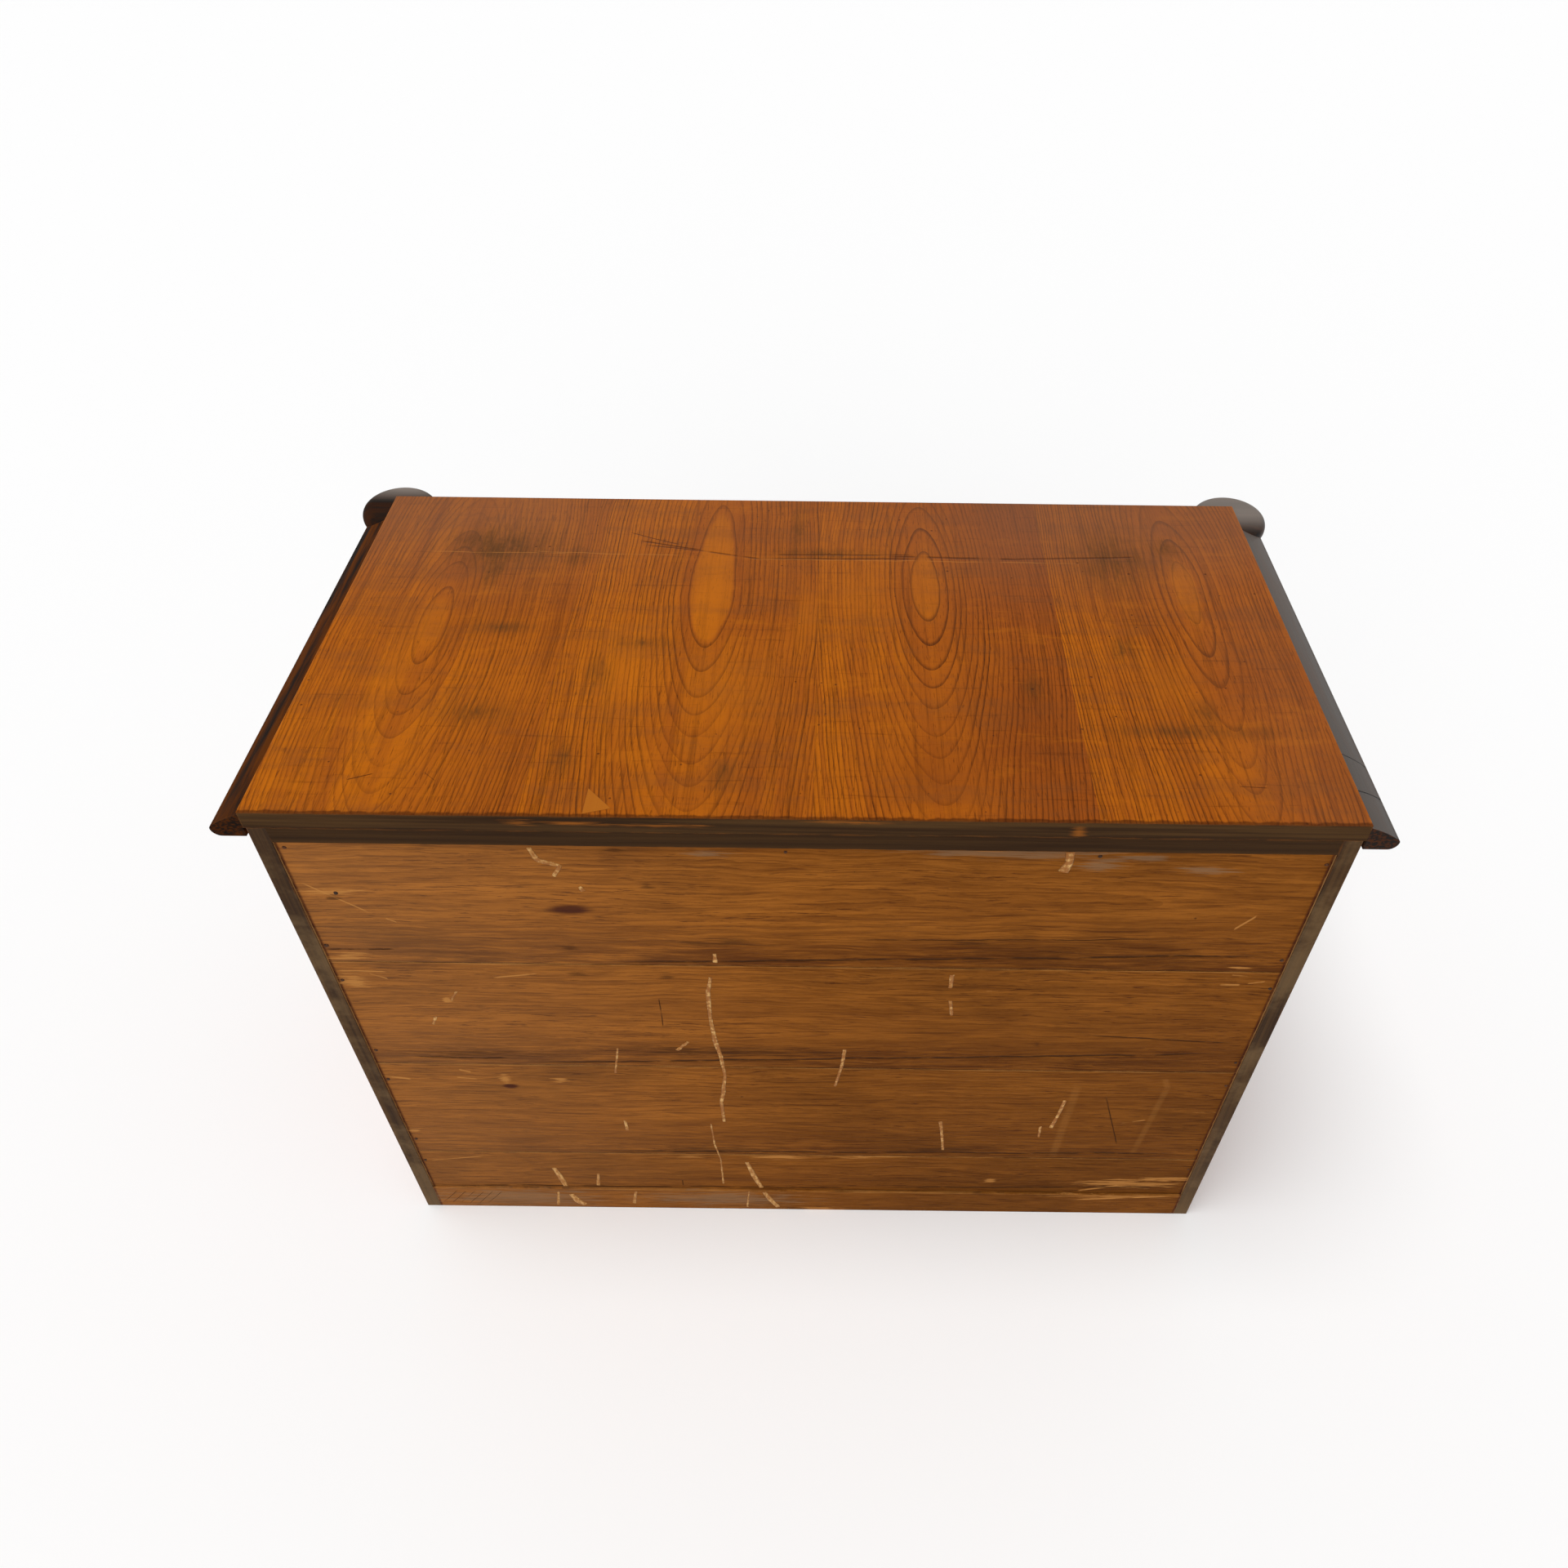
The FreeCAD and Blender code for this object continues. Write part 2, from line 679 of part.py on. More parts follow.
def lock(drawer, top, hole):
    wall = S.lock_wall
    half = S.lock_width / 2
    outer_y = (LOCK_Y, LOCK_Y + S.lock_depth)
    outer = board(f"lock_{drawer}_outer", centred(half), outer_y, (top - S.lock_height, top))
    hollow_y = (LOCK_CAVITY_Y, LOCK_Y + S.lock_depth - wall)
    hollow_z = (top - S.lock_height + wall, top - wall)
    hollow = board(f"lock_{drawer}_hollow", centred(half - wall), hollow_y, hollow_z)
    slot_x = centred(S.bolt_width / 2 + S.lock_clearance)
    slot_y = (BOLT_FRONT_Y - S.lock_clearance, BOLT_REAR_Y + S.lock_clearance)
    slot = board(f"lock_{drawer}_slot", slot_x, slot_y, (top - wall, top))
    part(f"drawer_{drawer}_lock_case", cut(f"lock_{drawer}", outer, hollow, slot, hole))
    bolt_top = top - S.lock_clearance
    bolt_y = (BOLT_FRONT_Y, BOLT_REAR_Y)
    bolt = board(f"bolt_{drawer}", centred(S.bolt_width / 2), bolt_y, (bolt_top - S.bolt_length, bolt_top))
    part(f"drawer_{drawer}_lock_bolt", bolt)
    return outer


def escutcheon(drawer, key_z, hole):
    width = S.escutcheon_width
    height = S.escutcheon_height
    corners = [(width / 2, 0), (width, height / 2), (width / 2, height), (0, height / 2)]
    plate = planed(f"escutcheon_{drawer}_plate", corners, {}, S.escutcheon_thick)
    keyhole_middle = key_z - S.key_bit_length / 2
    place(plate, -width / 2, FRONT_Y, keyhole_middle - height / 2)
    return part(f"drawer_{drawer}_escutcheon", cut(f"escutcheon_{drawer}", plate, hole))


# Turned knobs with a dowel glued into the drawer front.
def knob(drawer, side, z):
    face = S.knob_dowel_length
    widest = face + S.knob_widest
    head_out = S.knob_radius - S.knob_neck_radius
    head_up = S.knob_widest - S.knob_neck_end
    head_round = (head_out * head_out + head_up * head_up) / (2 * head_out)
    corners = [
        (0, 0),
        (S.knob_dowel_radius, 0),
        (S.knob_dowel_radius, face),
        (S.knob_base_radius, face),
        (S.knob_base_radius, face + S.knob_base_rim),
        (S.knob_neck_radius, face + S.knob_neck_end),
        (S.knob_radius, widest),
        (0, face + S.knob_length),
    ]
    arcs = {
        4: {"radius": S.knob_neck_cove, "hollow": True},
        5: {"centre": S.knob_radius - head_round},
        6: {"centre": 0},
    }
    body = turned(f"knob_{drawer}_{SIDE_NAMES[side]}", corners, arcs)
    turn(body, Vector(1, 0, 0), 90)
    place(body, side * S.knob_spread, FRONT_Y + face, z)
    return body


# Drawers: half-blind dovetails at the front, through dovetails at the back, the bottom in grooves.
def drawer_side(drawer, side, z, back, bottom):
    name = f"drawer_{drawer}_{SIDE_NAMES[side]}_side"
    x = mirrored(side, DRAWER_INNER_X, DRAWER_X)
    pieces = [board(f"{name}_plank", x, (FRONT_REAR_Y, DRAWER_REAR_Y), z)]
    pitch = (z[1] - z[0]) / FRONT_TAILS
    for number in range(FRONT_TAILS):
        middle = z[0] + pitch * (number + 0.5)
        tip = centred(S.dovetail_width / 2 + S.dovetail_flare, middle)
        root = centred(S.dovetail_width / 2, middle)
        y = (FRONT_Y + S.dovetail_lap, FRONT_REAR_Y)
        pieces.append(dovetail(f"{name}_tail_{number + 1}", x, y, tip, root))
    return part(name, cut(name, joined(f"{name}_blank", *pieces), back, bottom))


def drawer_back(drawer, z):
    name = f"drawer_{drawer}_back"
    y = (DRAWER_REAR_Y - S.drawer_back_thick, DRAWER_REAR_Y)
    pieces = [board(f"{name}_plank", centred(DRAWER_INNER_X), y, z)]
    pitch = (z[1] - z[0]) / BACK_PINS
    for side, side_name in SIDE_NAMES.items():
        x = mirrored(side, DRAWER_INNER_X, DRAWER_X)
        for number in range(BACK_PINS):
            middle = z[0] + pitch * (number + 0.5)
            root = centred(S.pin_width / 2 + S.dovetail_flare, middle)
            tip = centred(S.pin_width / 2, middle)
            pieces.append(dovetail(f"{name}_pin_{side_name}_{number + 1}", x, y, root, tip))
    return part(name, joined(f"{name}_blank", *pieces))


def drawer_bottom(drawer, z):
    x = centred(DRAWER_INNER_X + S.drawer_groove)
    y = (FRONT_REAR_Y - S.drawer_groove, DRAWER_REAR_Y)
    return part(f"drawer_{drawer}_bottom", board(f"drawer_{drawer}_bottom_panel", x, y, z))


def make_drawer(drawer):
    floor, ceiling = OPENINGS[drawer]
    low = floor + S.drawer_lift
    front_top = ceiling - S.drawer_top_gap
    side_top = ceiling - S.drawer_side_drop
    bottom_low = low + S.drawer_bottom_rise
    bottom_top = bottom_low + S.drawer_bottom_thick
    key_z = front_top - S.key_drop
    back = drawer_back(drawer, (bottom_top, side_top - S.drawer_back_drop))
    bottom = drawer_bottom(drawer, (bottom_low, bottom_top))
    flanks = [drawer_side(drawer, side, (low, side_top), back, bottom) for side in SIDE_NAMES]
    hole = keyhole(drawer, key_z)
    lock_outer = lock(drawer, front_top, hole)
    escutcheon(drawer, key_z, hole)
    front_z = (floor + S.drawer_front_lift, front_top)
    knobs = [knob(drawer, side, (front_z[0] + front_z[1]) / 2) for side in SIDE_NAMES]
    part(f"drawer_{drawer}_knobs", group(f"knob_pair_{drawer}", *knobs))
    panel = board(f"drawer_{drawer}_front_panel", centred(DRAWER_X), (FRONT_Y, FRONT_REAR_Y), front_z)
    cutters = [*flanks, bottom, lock_outer, hole, *knobs]
    part(f"drawer_{drawer}_front", cut(f"drawer_{drawer}_front", panel, *cutters))
    return key_z


key_heights = {drawer: make_drawer(drawer) for drawer in OPENINGS}

# Key: a ring bow, a stem with a collar, and a bit that turns in front of the bolt.
key_z = key_heights[1]
bit_y = (LOCK_CAVITY_Y + S.lock_clearance, LOCK_CAVITY_Y + S.lock_clearance + S.key_bit_width)
bow_y = FRONT_Y - S.key_reach
bow = doc.addObject("Part::Torus", "key_bow")
bind(bow, Radius1=S.key_bow_radius, Radius2=S.key_bow_wire)
turn(bow, Vector(0, 1, 0), 90)
place(bow, 0, bow_y, key_z)
stem = rod("key_stem", S.key_stem_radius, (bow_y + S.key_bow_radius, bit_y[1]), 0, key_z)
collar_rear = FRONT_Y - S.escutcheon_thick - S.keyhole_clearance
collar = rod("key_collar", S.key_collar_radius, (collar_rear - S.key_collar_length, collar_rear), 0, key_z)
bit = board("key_bit", centred(S.key_bit_thick / 2), bit_y, (key_z - S.key_bit_length, key_z))
part("drawer_key", joined("key_blank", bow, stem, collar, bit))

doc.recompute()

# Every object has to be sound before anything is written.
for item in doc.Objects:
    if "Invalid" in item.State or "Error" in item.State:
        raise RuntimeError(f"{item.Label} did not recompute: {item.State}")
for piece in parts:
    if piece.Shape.isNull() or not piece.Shape.isValid() or not piece.Shape.Solids:
        raise RuntimeError(f"{piece.Label} has no sound shape")

os.makedirs("parts", exist_ok=True)
for piece in parts:
    piece.Shape.exportStep(f"parts/{piece.Label}.step")
print(f"{len(parts)} parts, {sum(len(piece.Shape.Solids) for piece in parts)} solids")
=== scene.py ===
import math
from functools import partial

import bmesh
import bpy
from mathutils import Matrix, Vector


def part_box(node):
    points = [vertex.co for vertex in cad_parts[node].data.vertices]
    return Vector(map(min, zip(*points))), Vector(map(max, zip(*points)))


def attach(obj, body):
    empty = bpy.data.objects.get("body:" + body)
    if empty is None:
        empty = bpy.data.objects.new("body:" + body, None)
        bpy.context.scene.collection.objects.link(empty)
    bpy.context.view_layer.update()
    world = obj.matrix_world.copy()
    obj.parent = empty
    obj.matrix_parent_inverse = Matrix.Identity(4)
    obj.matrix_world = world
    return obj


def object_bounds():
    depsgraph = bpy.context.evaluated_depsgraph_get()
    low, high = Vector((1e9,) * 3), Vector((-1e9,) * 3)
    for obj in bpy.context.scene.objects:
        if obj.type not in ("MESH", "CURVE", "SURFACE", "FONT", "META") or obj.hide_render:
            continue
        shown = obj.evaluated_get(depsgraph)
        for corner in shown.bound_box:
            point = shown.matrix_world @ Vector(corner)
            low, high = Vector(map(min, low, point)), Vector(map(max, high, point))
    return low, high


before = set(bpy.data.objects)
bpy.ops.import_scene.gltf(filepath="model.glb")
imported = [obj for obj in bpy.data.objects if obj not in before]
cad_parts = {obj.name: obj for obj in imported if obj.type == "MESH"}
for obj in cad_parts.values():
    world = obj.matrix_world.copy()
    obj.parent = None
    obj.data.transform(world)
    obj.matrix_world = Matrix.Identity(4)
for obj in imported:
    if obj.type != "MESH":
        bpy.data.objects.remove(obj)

cad_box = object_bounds()


# Case sides: two upright pine boards, veneered with walnut on the outside in two mirrored leaves.
# The rails, the top and the back are fixed to them. Their bare back edges were brushed with dark stain.
def srgb(red, green, blue):
    """A colour as seen on a screen, 0 to 255 a channel, as linear light."""
    shares = [channel / 255 for channel in (red, green, blue)]
    return (*(s / 12.92 if s <= 0.04045 else ((s + 0.055) / 1.055) ** 2.4 for s in shares), 1.0)


class Bench:
    """The node tree that is open; every helper below adds its nodes there."""
    tree = None


def link(output, socket):
    Bench.tree.links.new(output, socket)


def add_node(kind, inputs=None, **options):
    """Add a node, set its options, link or set its inputs by name or number, and give its outputs."""
    node = Bench.tree.nodes.new(kind)
    for option, value in options.items():
        setattr(node, option, value)
    for key, value in (inputs or {}).items():
        if isinstance(value, bpy.types.NodeSocket):
            link(value, node.inputs[key])
        else:
            node.inputs[key].default_value = value
    return node.outputs


def compute(operation, *values):
    return add_node("ShaderNodeMath", dict(enumerate(values)), operation=operation)[0]


plus = partial(compute, "ADD")
minus = partial(compute, "SUBTRACT")
divide = partial(compute, "DIVIDE")
linear = partial(compute, "MULTIPLY_ADD")  # value, slope, start
larger = partial(compute, "MAXIMUM")
distance = partial(compute, "ABSOLUTE")
root = partial(compute, "SQRT")
exceeds = partial(compute, "GREATER_THAN")


def times(*values):
    product = values[0]
    for value in values[1:]:
        product = compute("MULTIPLY", product, value)
    return product


def ease(value, start, end):
    """Rises smoothly from 0 at start to 1 at end."""
    span = {"Value": value, "From Min": start, "From Max": end}
    return add_node("ShaderNodeMapRange", span, interpolation_type="SMOOTHSTEP")[0]


def tint(first, second, *masks, blend="MIX"):
    """The first colour where the product of the masks is 0 and the second, blended, where it is 1."""
    inputs = {0: times(*masks), 6: first, 7: second}
    return add_node("ShaderNodeMix", inputs, data_type="RGBA", blend_type=blend)[2]


def coat(colour, *coats):
    """Lay coats over a colour from the bottom up, each as its colour and its masks."""
    for second, *masks in coats:
        colour = tint(colour, second, *masks)
    return colour


def choose(mask, first, second):
    """The first value where the mask is 0 and the second where it is 1."""
    return add_node("ShaderNodeMix", {0: mask, 2: first, 3: second}, data_type="FLOAT")[0]


def clouds(vector, stretch, seed, detail=4.0, roughness=0.55):
    """Noise with stretch waves per metre along each axis."""
    scaled = add_node("ShaderNodeVectorMath", {0: vector, 1: stretch}, operation="MULTIPLY")[0]
    inputs = {"Vector": scaled, "W": seed, "Scale": 1.0, "Detail": detail, "Roughness": roughness}
    return add_node("ShaderNodeTexNoise", inputs, noise_dimensions="4D")[0]


def cloud_mask(vector, stretch, seed, start, end, detail=4.0, roughness=0.55):
    """Where the noise lies past start, fully so from end on."""
    return ease(clouds(vector, stretch, seed, detail, roughness), start, end)


def split(vector):
    return add_node("ShaderNodeSeparateXYZ", {0: vector})


def join(*axes):
    return add_node("ShaderNodeCombineXYZ", dict(enumerate(axes)))[0]


def grain(place, order):
    """Coordinates as (along the grain, across it, into the wood), order naming the axes, such as xzy."""
    axes = split(place)
    return join(*(axes["xyz".index(axis)] for axis in order))


def bookmatch(veneer_grain, middle):
    """Folds the veneer at a seam, so that two leaves mirror each other."""
    along, across, into = split(veneer_grain)
    return join(along, distance(minus(across, middle)), into)


def new_group(name, inputs, outputs):
    """A shader group whose inputs and outputs are values, apart from the vector called Grain."""
    group = Bench.tree = bpy.data.node_groups.new(name, "ShaderNodeTree")
    for in_out, labels in (("INPUT", inputs), ("OUTPUT", outputs)):
        for label in labels:
            kind = "NodeSocketVector" if label == "Grain" else "NodeSocketFloat"
            group.interface.new_socket(label, in_out=in_out, socket_type=kind)
    return group, add_node("NodeGroupInput"), group.nodes.new("NodeGroupOutput").inputs


def use_group(group, **inputs):
    """Place a group; its inputs are named with underscores for spaces."""
    named = {label.replace("_", " "): value for label, value in inputs.items()}
    return add_node("ShaderNodeGroup", named, node_tree=group)


def new_finish(name, **settings):
    """An open material, its shader with plain settings, and the piece's own coordinates in metres."""
    material = bpy.data.materials.new(name)
    material.use_nodes = True
    Bench.tree = material.node_tree
    shader = Bench.tree.nodes["Principled BSDF"]
    for label, value in settings.items():
        shader.inputs[label.replace("_", " ")].default_value = value
    return material, shader, add_node("ShaderNodeTexCoord")["Object"]


def surface(shader, colour, roughness, height, depth, arris=0.0008):
    """Feed the shader its colour, roughness and a bump of depth metres over softened edges."""
    link(colour, shader.inputs["Base Color"])
    link(roughness, shader.inputs["Roughness"])
    rounded = add_node("ShaderNodeBevel", {"Radius": arris}, samples=4)[0]
    bump = add_node("ShaderNodeBump", {"Height": height, "Distance": depth, "Normal": rounded})
    link(bump[0], shader.inputs["Normal"])


def dress(material, *nodes):
    """Give CAD nodes a material."""
    for node in nodes:
        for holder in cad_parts[node].material_slots:
            holder.material = material


def make_fibre():
    """Fine streaks along the grain, and short dark pores."""
    group, given, put = new_group("fibre", ["Grain", "Seed"], ["Streak", "Pore"])
    link(clouds(given["Grain"], (6, 300, 60), given["Seed"], 6.0, 0.72), put["Streak"])
    pores = clouds(given["Grain"], (60, 700, 80), given["Seed"], 2.0)
    link(ease(pores, 0.58, 0.67), put["Pore"])
    return group


CORE_DEPTH = 0.06
CORE_ROUNDING = 0.0113


def make_crown_rings():
    """Growth rings of a board cut beside the heart: ovals at the core, arches beyond it, straight beside."""
    inputs = ["Grain", "Core Along", "Core Across", "Taper Front", "Taper Back", "Ring Width", "Line Width",
              "Sway", "Shift", "Heart", "Seed"]
    group, given, put = new_group("crown_rings", inputs, ["Line", "Tone", "Eye"])
    axes = split(given["Grain"])
    sway = minus(clouds(given["Grain"], (3.5, 6, 0), given["Seed"], 2.0), 0.5)
    tremor = minus(clouds(given["Grain"], (26, 70, 0), given["Seed"], 3.0), 0.5)
    sway = linear(tremor, 0.12, sway)
    offset = minus(axes[1], given["Core Across"])
    beside = linear(sway, given["Sway"], offset)
    beyond = minus(axes[0], given["Core Along"])
    behind = exceeds(beyond, 0.0)
    taper = choose(behind, given["Taper Front"], given["Taper Back"])
    fall = times(beyond, taper)
    rounded = root(linear(fall, fall, CORE_ROUNDING ** 2))
    depth = plus(rounded, CORE_DEPTH - CORE_ROUNDING)
    reach = linear(beside, beside, times(depth, depth))
    radius = root(reach)
    spread = linear(radius, 70.0, given["Seed"])
    uneven = add_node("ShaderNodeTexNoise", {"W": spread, "Scale": 1.0, "Detail": 3.0}, noise_dimensions="1D")
    counted = linear(uneven[0], 0.005, minus(radius, given["Shift"]))
    rings = divide(counted, given["Ring Width"])
    rise = divide(times(fall, taper, depth), rounded)
    slope = root(linear(beside, beside, times(rise, rise)))
    slope = compute("POWER", divide(slope, radius), 0.4)
    grown = compute("FRACT", rings)
    short = minus(1.0, grown)
    away = divide(times(short, given["Ring Width"]), times(slope, given["Line Width"]))
    ring_seed = plus(compute("FLOOR", rings), given["Seed"])
    chance = add_node("ShaderNodeTexWhiteNoise", {"W": ring_seed}, noise_dimensions="1D")[0]
    ticks = cloud_mask(given["Grain"], (45, 420, 0), given["Seed"], 0.3, 0.62, 2.0)
    patchy = cloud_mask(given["Grain"], (3, 9, 0), given["Seed"], 0.36, 0.6, 3.0)
    at_core = ease(radius, 0.078, 0.066)
    clear = times(linear(chance, 0.4, 0.6), linear(patchy, 0.4, 0.6))
    drawn = times(ease(away, 1.0, 0.05), larger(clear, times(at_core, 0.66)))
    on_axis = ease(distance(beside), 0.06, 0.01)
    outlying = ease(distance(beyond), 0.10, 0.26)
    drawn = times(drawn, linear(times(on_axis, outlying), -0.45, 1.0))
    past_heart = minus(radius, given["Heart"])
    eye = ease(past_heart, 0.0014, 0.0003)
    drawn = times(drawn, ease(past_heart, 0.0, 0.0008))
    link(times(drawn, linear(ticks, 0.3, 0.7)), put["Line"])
    slow = {"W": linear(rings, 0.35, given["Seed"]), "Scale": 1.0, "Detail": 2.0}
    tone = add_node("ShaderNodeTexNoise", slow, noise_dimensions="1D")[0]
    tone = linear(minus(grown, 0.5), 0.2, tone)
    tone = linear(minus(at_core, times(eye, 1.6)), 0.09, tone)
    link(tone, put["Tone"])
    link(eye, put["Eye"])
    return group


def make_edge_wear():
    """Where an arris is rubbed: strong on the edge itself, broken up by noise."""
    group, given, put = new_group("edge_wear", ["Grain", "Reach", "Seed"], ["Mask"])
    rounded = add_node("ShaderNodeBevel", {"Radius": given["Reach"]}, samples=6)[0]
    flat = add_node("ShaderNodeNewGeometry")["Normal"]
    facing = add_node("ShaderNodeVectorMath", {0: rounded, 1: flat}, operation="DOT_PRODUCT")["Value"]
    rubbed = cloud_mask(given["Grain"], (30, 60, 60), given["Seed"], 0.42, 0.6, 5.0, 0.65)
    link(times(ease(facing, 0.995, 0.86), rubbed), put["Mask"])
    return group


fibre = make_fibre()
crown_rings = make_crown_rings()
edge_wear = make_edge_wear()

PLAIN_HEART = 0.0632
VENEER_AMBER = srgb(186, 101, 14)
VENEER_RUSSET = srgb(148, 74, 20)
VENEER_BROWN = srgb(106, 62, 32)
VENEER_LINE = srgb(62, 27, 6)


def veneer_colour(veneer_grain, line, tone, seed, aged):
    """Faded walnut from its ring lines and tones, aged from amber towards russet where the mask is 1."""
    fine = use_group(fibre, Grain=veneer_grain, Seed=seed)
    stripes = cloud_mask(veneer_grain, (1.2, 42, 0), seed + 0.7, 0.46, 0.64, 5.0)
    colour = coat(VENEER_AMBER, (VENEER_RUSSET, aged), (VENEER_RUSSET, ease(tone, 0.42, 0.7), 0.4),
                  (VENEER_RUSSET, stripes, 0.45), (VENEER_LINE, line),
                  (VENEER_LINE, ease(fine["Streak"], 0.46, 0.66), 0.42), (VENEER_LINE, fine["Pore"], 0.5))
    return colour, fine["Streak"]


def pine_colour(board_grain, seed, pale, deep, core=(0.1, 0.05)):
    """Flat-sawn pine: long arching rings, soft streaks and fine fibre; also gives its relief."""
    rings = use_group(crown_rings, Grain=board_grain, Core_Along=core[0], Core_Across=core[1],
                      Taper_Front=0.03, Taper_Back=0.04, Ring_Width=0.0062, Line_Width=0.0024, Sway=0.05,
                      Heart=PLAIN_HEART, Seed=seed)
    streaks = clouds(board_grain, (3.0, 46, 9), seed, 7.0, 0.62)
    along, across, into = split(board_grain)
    fine = use_group(fibre, Grain=join(times(along, 2.6), across, into), Seed=seed)["Streak"]
    colour = coat(pale, (deep, ease(streaks, 0.38, 0.7), 0.36), (deep, rings["Line"], 0.45),
                  (deep, ease(rings["Tone"], 0.45, 0.75), 0.3), (deep, ease(fine, 0.43, 0.66), 0.7))
    return colour, minus(plus(streaks, fine), rings["Line"])


STAIN_DARK = srgb(46, 29, 15)
STAIN_BROWN = srgb(86, 60, 32)
STAIN_RUBBED = srgb(146, 84, 28)
STAIN_DUSTY = srgb(122, 96, 64)
CASE_PALE = srgb(186, 140, 86)
CASE_DEEP = srgb(132, 86, 44)
OUTER_FACE = 0.5564
SIDE_SEAM = 0.03
STAINED_SKIN = 0.0012
back_y = cad_box[1].y


def stain_colour(along_edge, seed, brown):
    """Dark brushed stain, brown setting how much of it shows lighter; also gives its relief."""
    brushed = clouds(along_edge, (2.5, 120, 60), seed, 6.0, 0.6)
    fine = use_group(fibre, Grain=along_edge, Seed=seed)["Streak"]
    worn = use_group(edge_wear, Grain=along_edge, Reach=0.003, Seed=seed)["Mask"]
    rubs = cloud_mask(along_edge, (14, 60, 30), seed + 4.0, 0.66, 0.76, 5.0, 0.7)
    colour = coat(STAIN_DARK, (STAIN_BROWN, ease(brushed, 0.32, 0.7), brown), (STAIN_DARK, fine, 0.3),
                  (STAIN_RUBBED, larger(worn, rubs), 0.3))
    return colour, plus(brushed, fine)


def case_side(node, seed):
    material, shader, place = new_finish(f"{node}_veneer", Specular_IOR_Level=0.12)
    x, y, z = split(place)
    upright = bookmatch(grain(place, "zyx"), SIDE_SEAM)
    rings = use_group(crown_rings, Grain=upright, Core_Along=0.36, Core_Across=0.13, Taper_Front=0.08,
                      Taper_Back=0.07, Ring_Width=0.0048, Line_Width=0.0021, Sway=0.026, Heart=PLAIN_HEART,
                      Seed=seed)
    aged = cloud_mask(upright, (2.2, 3.2, 0), seed, 0.3, 0.62, 3.0)
    veneer, streak = veneer_colour(upright, rings["Line"], rings["Tone"], seed, aged)
    low_darkening = ease(linear(clouds(upright, (5, 9, 0), seed + 2.0), 0.2, z), 0.17, 0.05)
    veneer = tint(veneer, VENEER_BROWN, low_darkening, 0.45)
    inside, pine_relief = pine_colour(grain(place, "zyx"), seed, CASE_PALE, CASE_DEEP)
    stain, stain_relief = stain_colour(grain(place, "zxy"), seed, 0.9)
    dusty = ease(linear(clouds(place, (30, 30, 18), seed, 4.0), 0.2, z), 0.26, 0.06)
    rubbed_off = cloud_mask(place, (9, 40, 10), seed + 6.0, 0.44, 0.62, 5.0, 0.65)
    stain = tint(stain, STAIN_DUSTY, larger(dusty, times(rubbed_off, 0.8)), 0.55)
    outer = exceeds(distance(x), OUTER_FACE)
    rear = exceeds(y, back_y - STAINED_SKIN)
    colour = coat(inside, (veneer, outer), (stain, rear))
    relief = choose(rear, choose(outer, pine_relief, streak), stain_relief)
    bare = choose(outer, 0.7, 0.36)
    surface(shader, colour, linear(aged, 0.12, bare), relief, depth=0.0003)
    dress(material, node)


case_side("left_side", 41.0)
case_side("right_side", 52.0)


# Case bottom, runners, guides, kickers and stops: plain planed pine inside the case.
# The bottom sits in grooves; the rest is glued and nailed along the drawers' paths. None of it was finished.
def bare_pine(name, order, seed, pale, deep):
    material, shader, place = new_finish(name, Specular_IOR_Level=0.25)
    along_board = grain(place, order)
    colour, relief = pine_colour(along_board, seed, pale, deep)
    handled = cloud_mask(place, (5, 5, 5), seed + 3.0, 0.5, 0.75, 5.0, 0.6)
    rubbed = use_group(edge_wear, Grain=along_board, Reach=0.002, Seed=seed)["Mask"]
    colour = coat(colour, (deep, handled, 0.35), (deep, rubbed, 0.5))
    surface(shader, colour, linear(handled, 0.12, 0.6), relief, depth=0.0003)
    return material


dress(bare_pine("case_bottom_pine", "xyz", 71.0, CASE_PALE, CASE_DEEP), "bottom_board")
dress(bare_pine("runner_pine", "yxz", 74.0, CASE_PALE, CASE_DEEP), "drawer_1_runners", "drawer_2_runners",
      "drawer_3_runners", "drawer_kickers", "drawer_stops")


# Back of the chest: four rough pine boards and a base rail, nailed flat into rebates in the sides.
# The wood is bare and has aged to orange-brown, with soft dark streaks, darker wood above each seam,
# long shakes, two dark knots and pale scuffs where it was dragged about; painted shadow lines mark the seams
# and the board ends, and a painted highlight runs along each board's top arris.
def make_specks():
    """Scattered dots, such as worm holes, pits and dents."""
    group, given, put = new_group("specks", ["Grain", "Per Metre", "Size", "Share"], ["Mask"])
    inputs = {"Vector": given["Grain"], "Scale": given["Per Metre"], "Randomness": 1.0}
    cells = add_node("ShaderNodeTexVoronoi", inputs, voronoi_dimensions="3D")
    chance = split(cells["Color"])
    kept = compute("LESS_THAN", chance[0], given["Share"])
    size = times(given["Size"], linear(chance[1], 0.8, 0.4))
    reach = divide(cells["Distance"], size)
    link(times(ease(reach, 1.0, 0.6), kept), put["Mask"])
    return group


def make_blotch():
    """An oval mark with a ragged edge, such as a knot, a smudge or a scrape."""
    inputs = ["Grain", "Along", "Across", "Length", "Height", "Ragged", "Soft", "Seed"]
    group, given, put = new_group("blotch", inputs, ["Mask"])
    axes = split(given["Grain"])
    along = divide(minus(axes[0], given["Along"]), given["Length"])
    across = divide(minus(axes[1], given["Across"]), given["Height"])
    reach = root(linear(along, along, times(across, across)))
    ragged = minus(clouds(given["Grain"], (22, 420, 60), given["Seed"], 6.0, 0.65), 0.5)
    reach = linear(ragged, given["Ragged"], reach)
    link(ease(reach, 1.0, minus(1.0, given["Soft"])), put["Mask"])
    return group


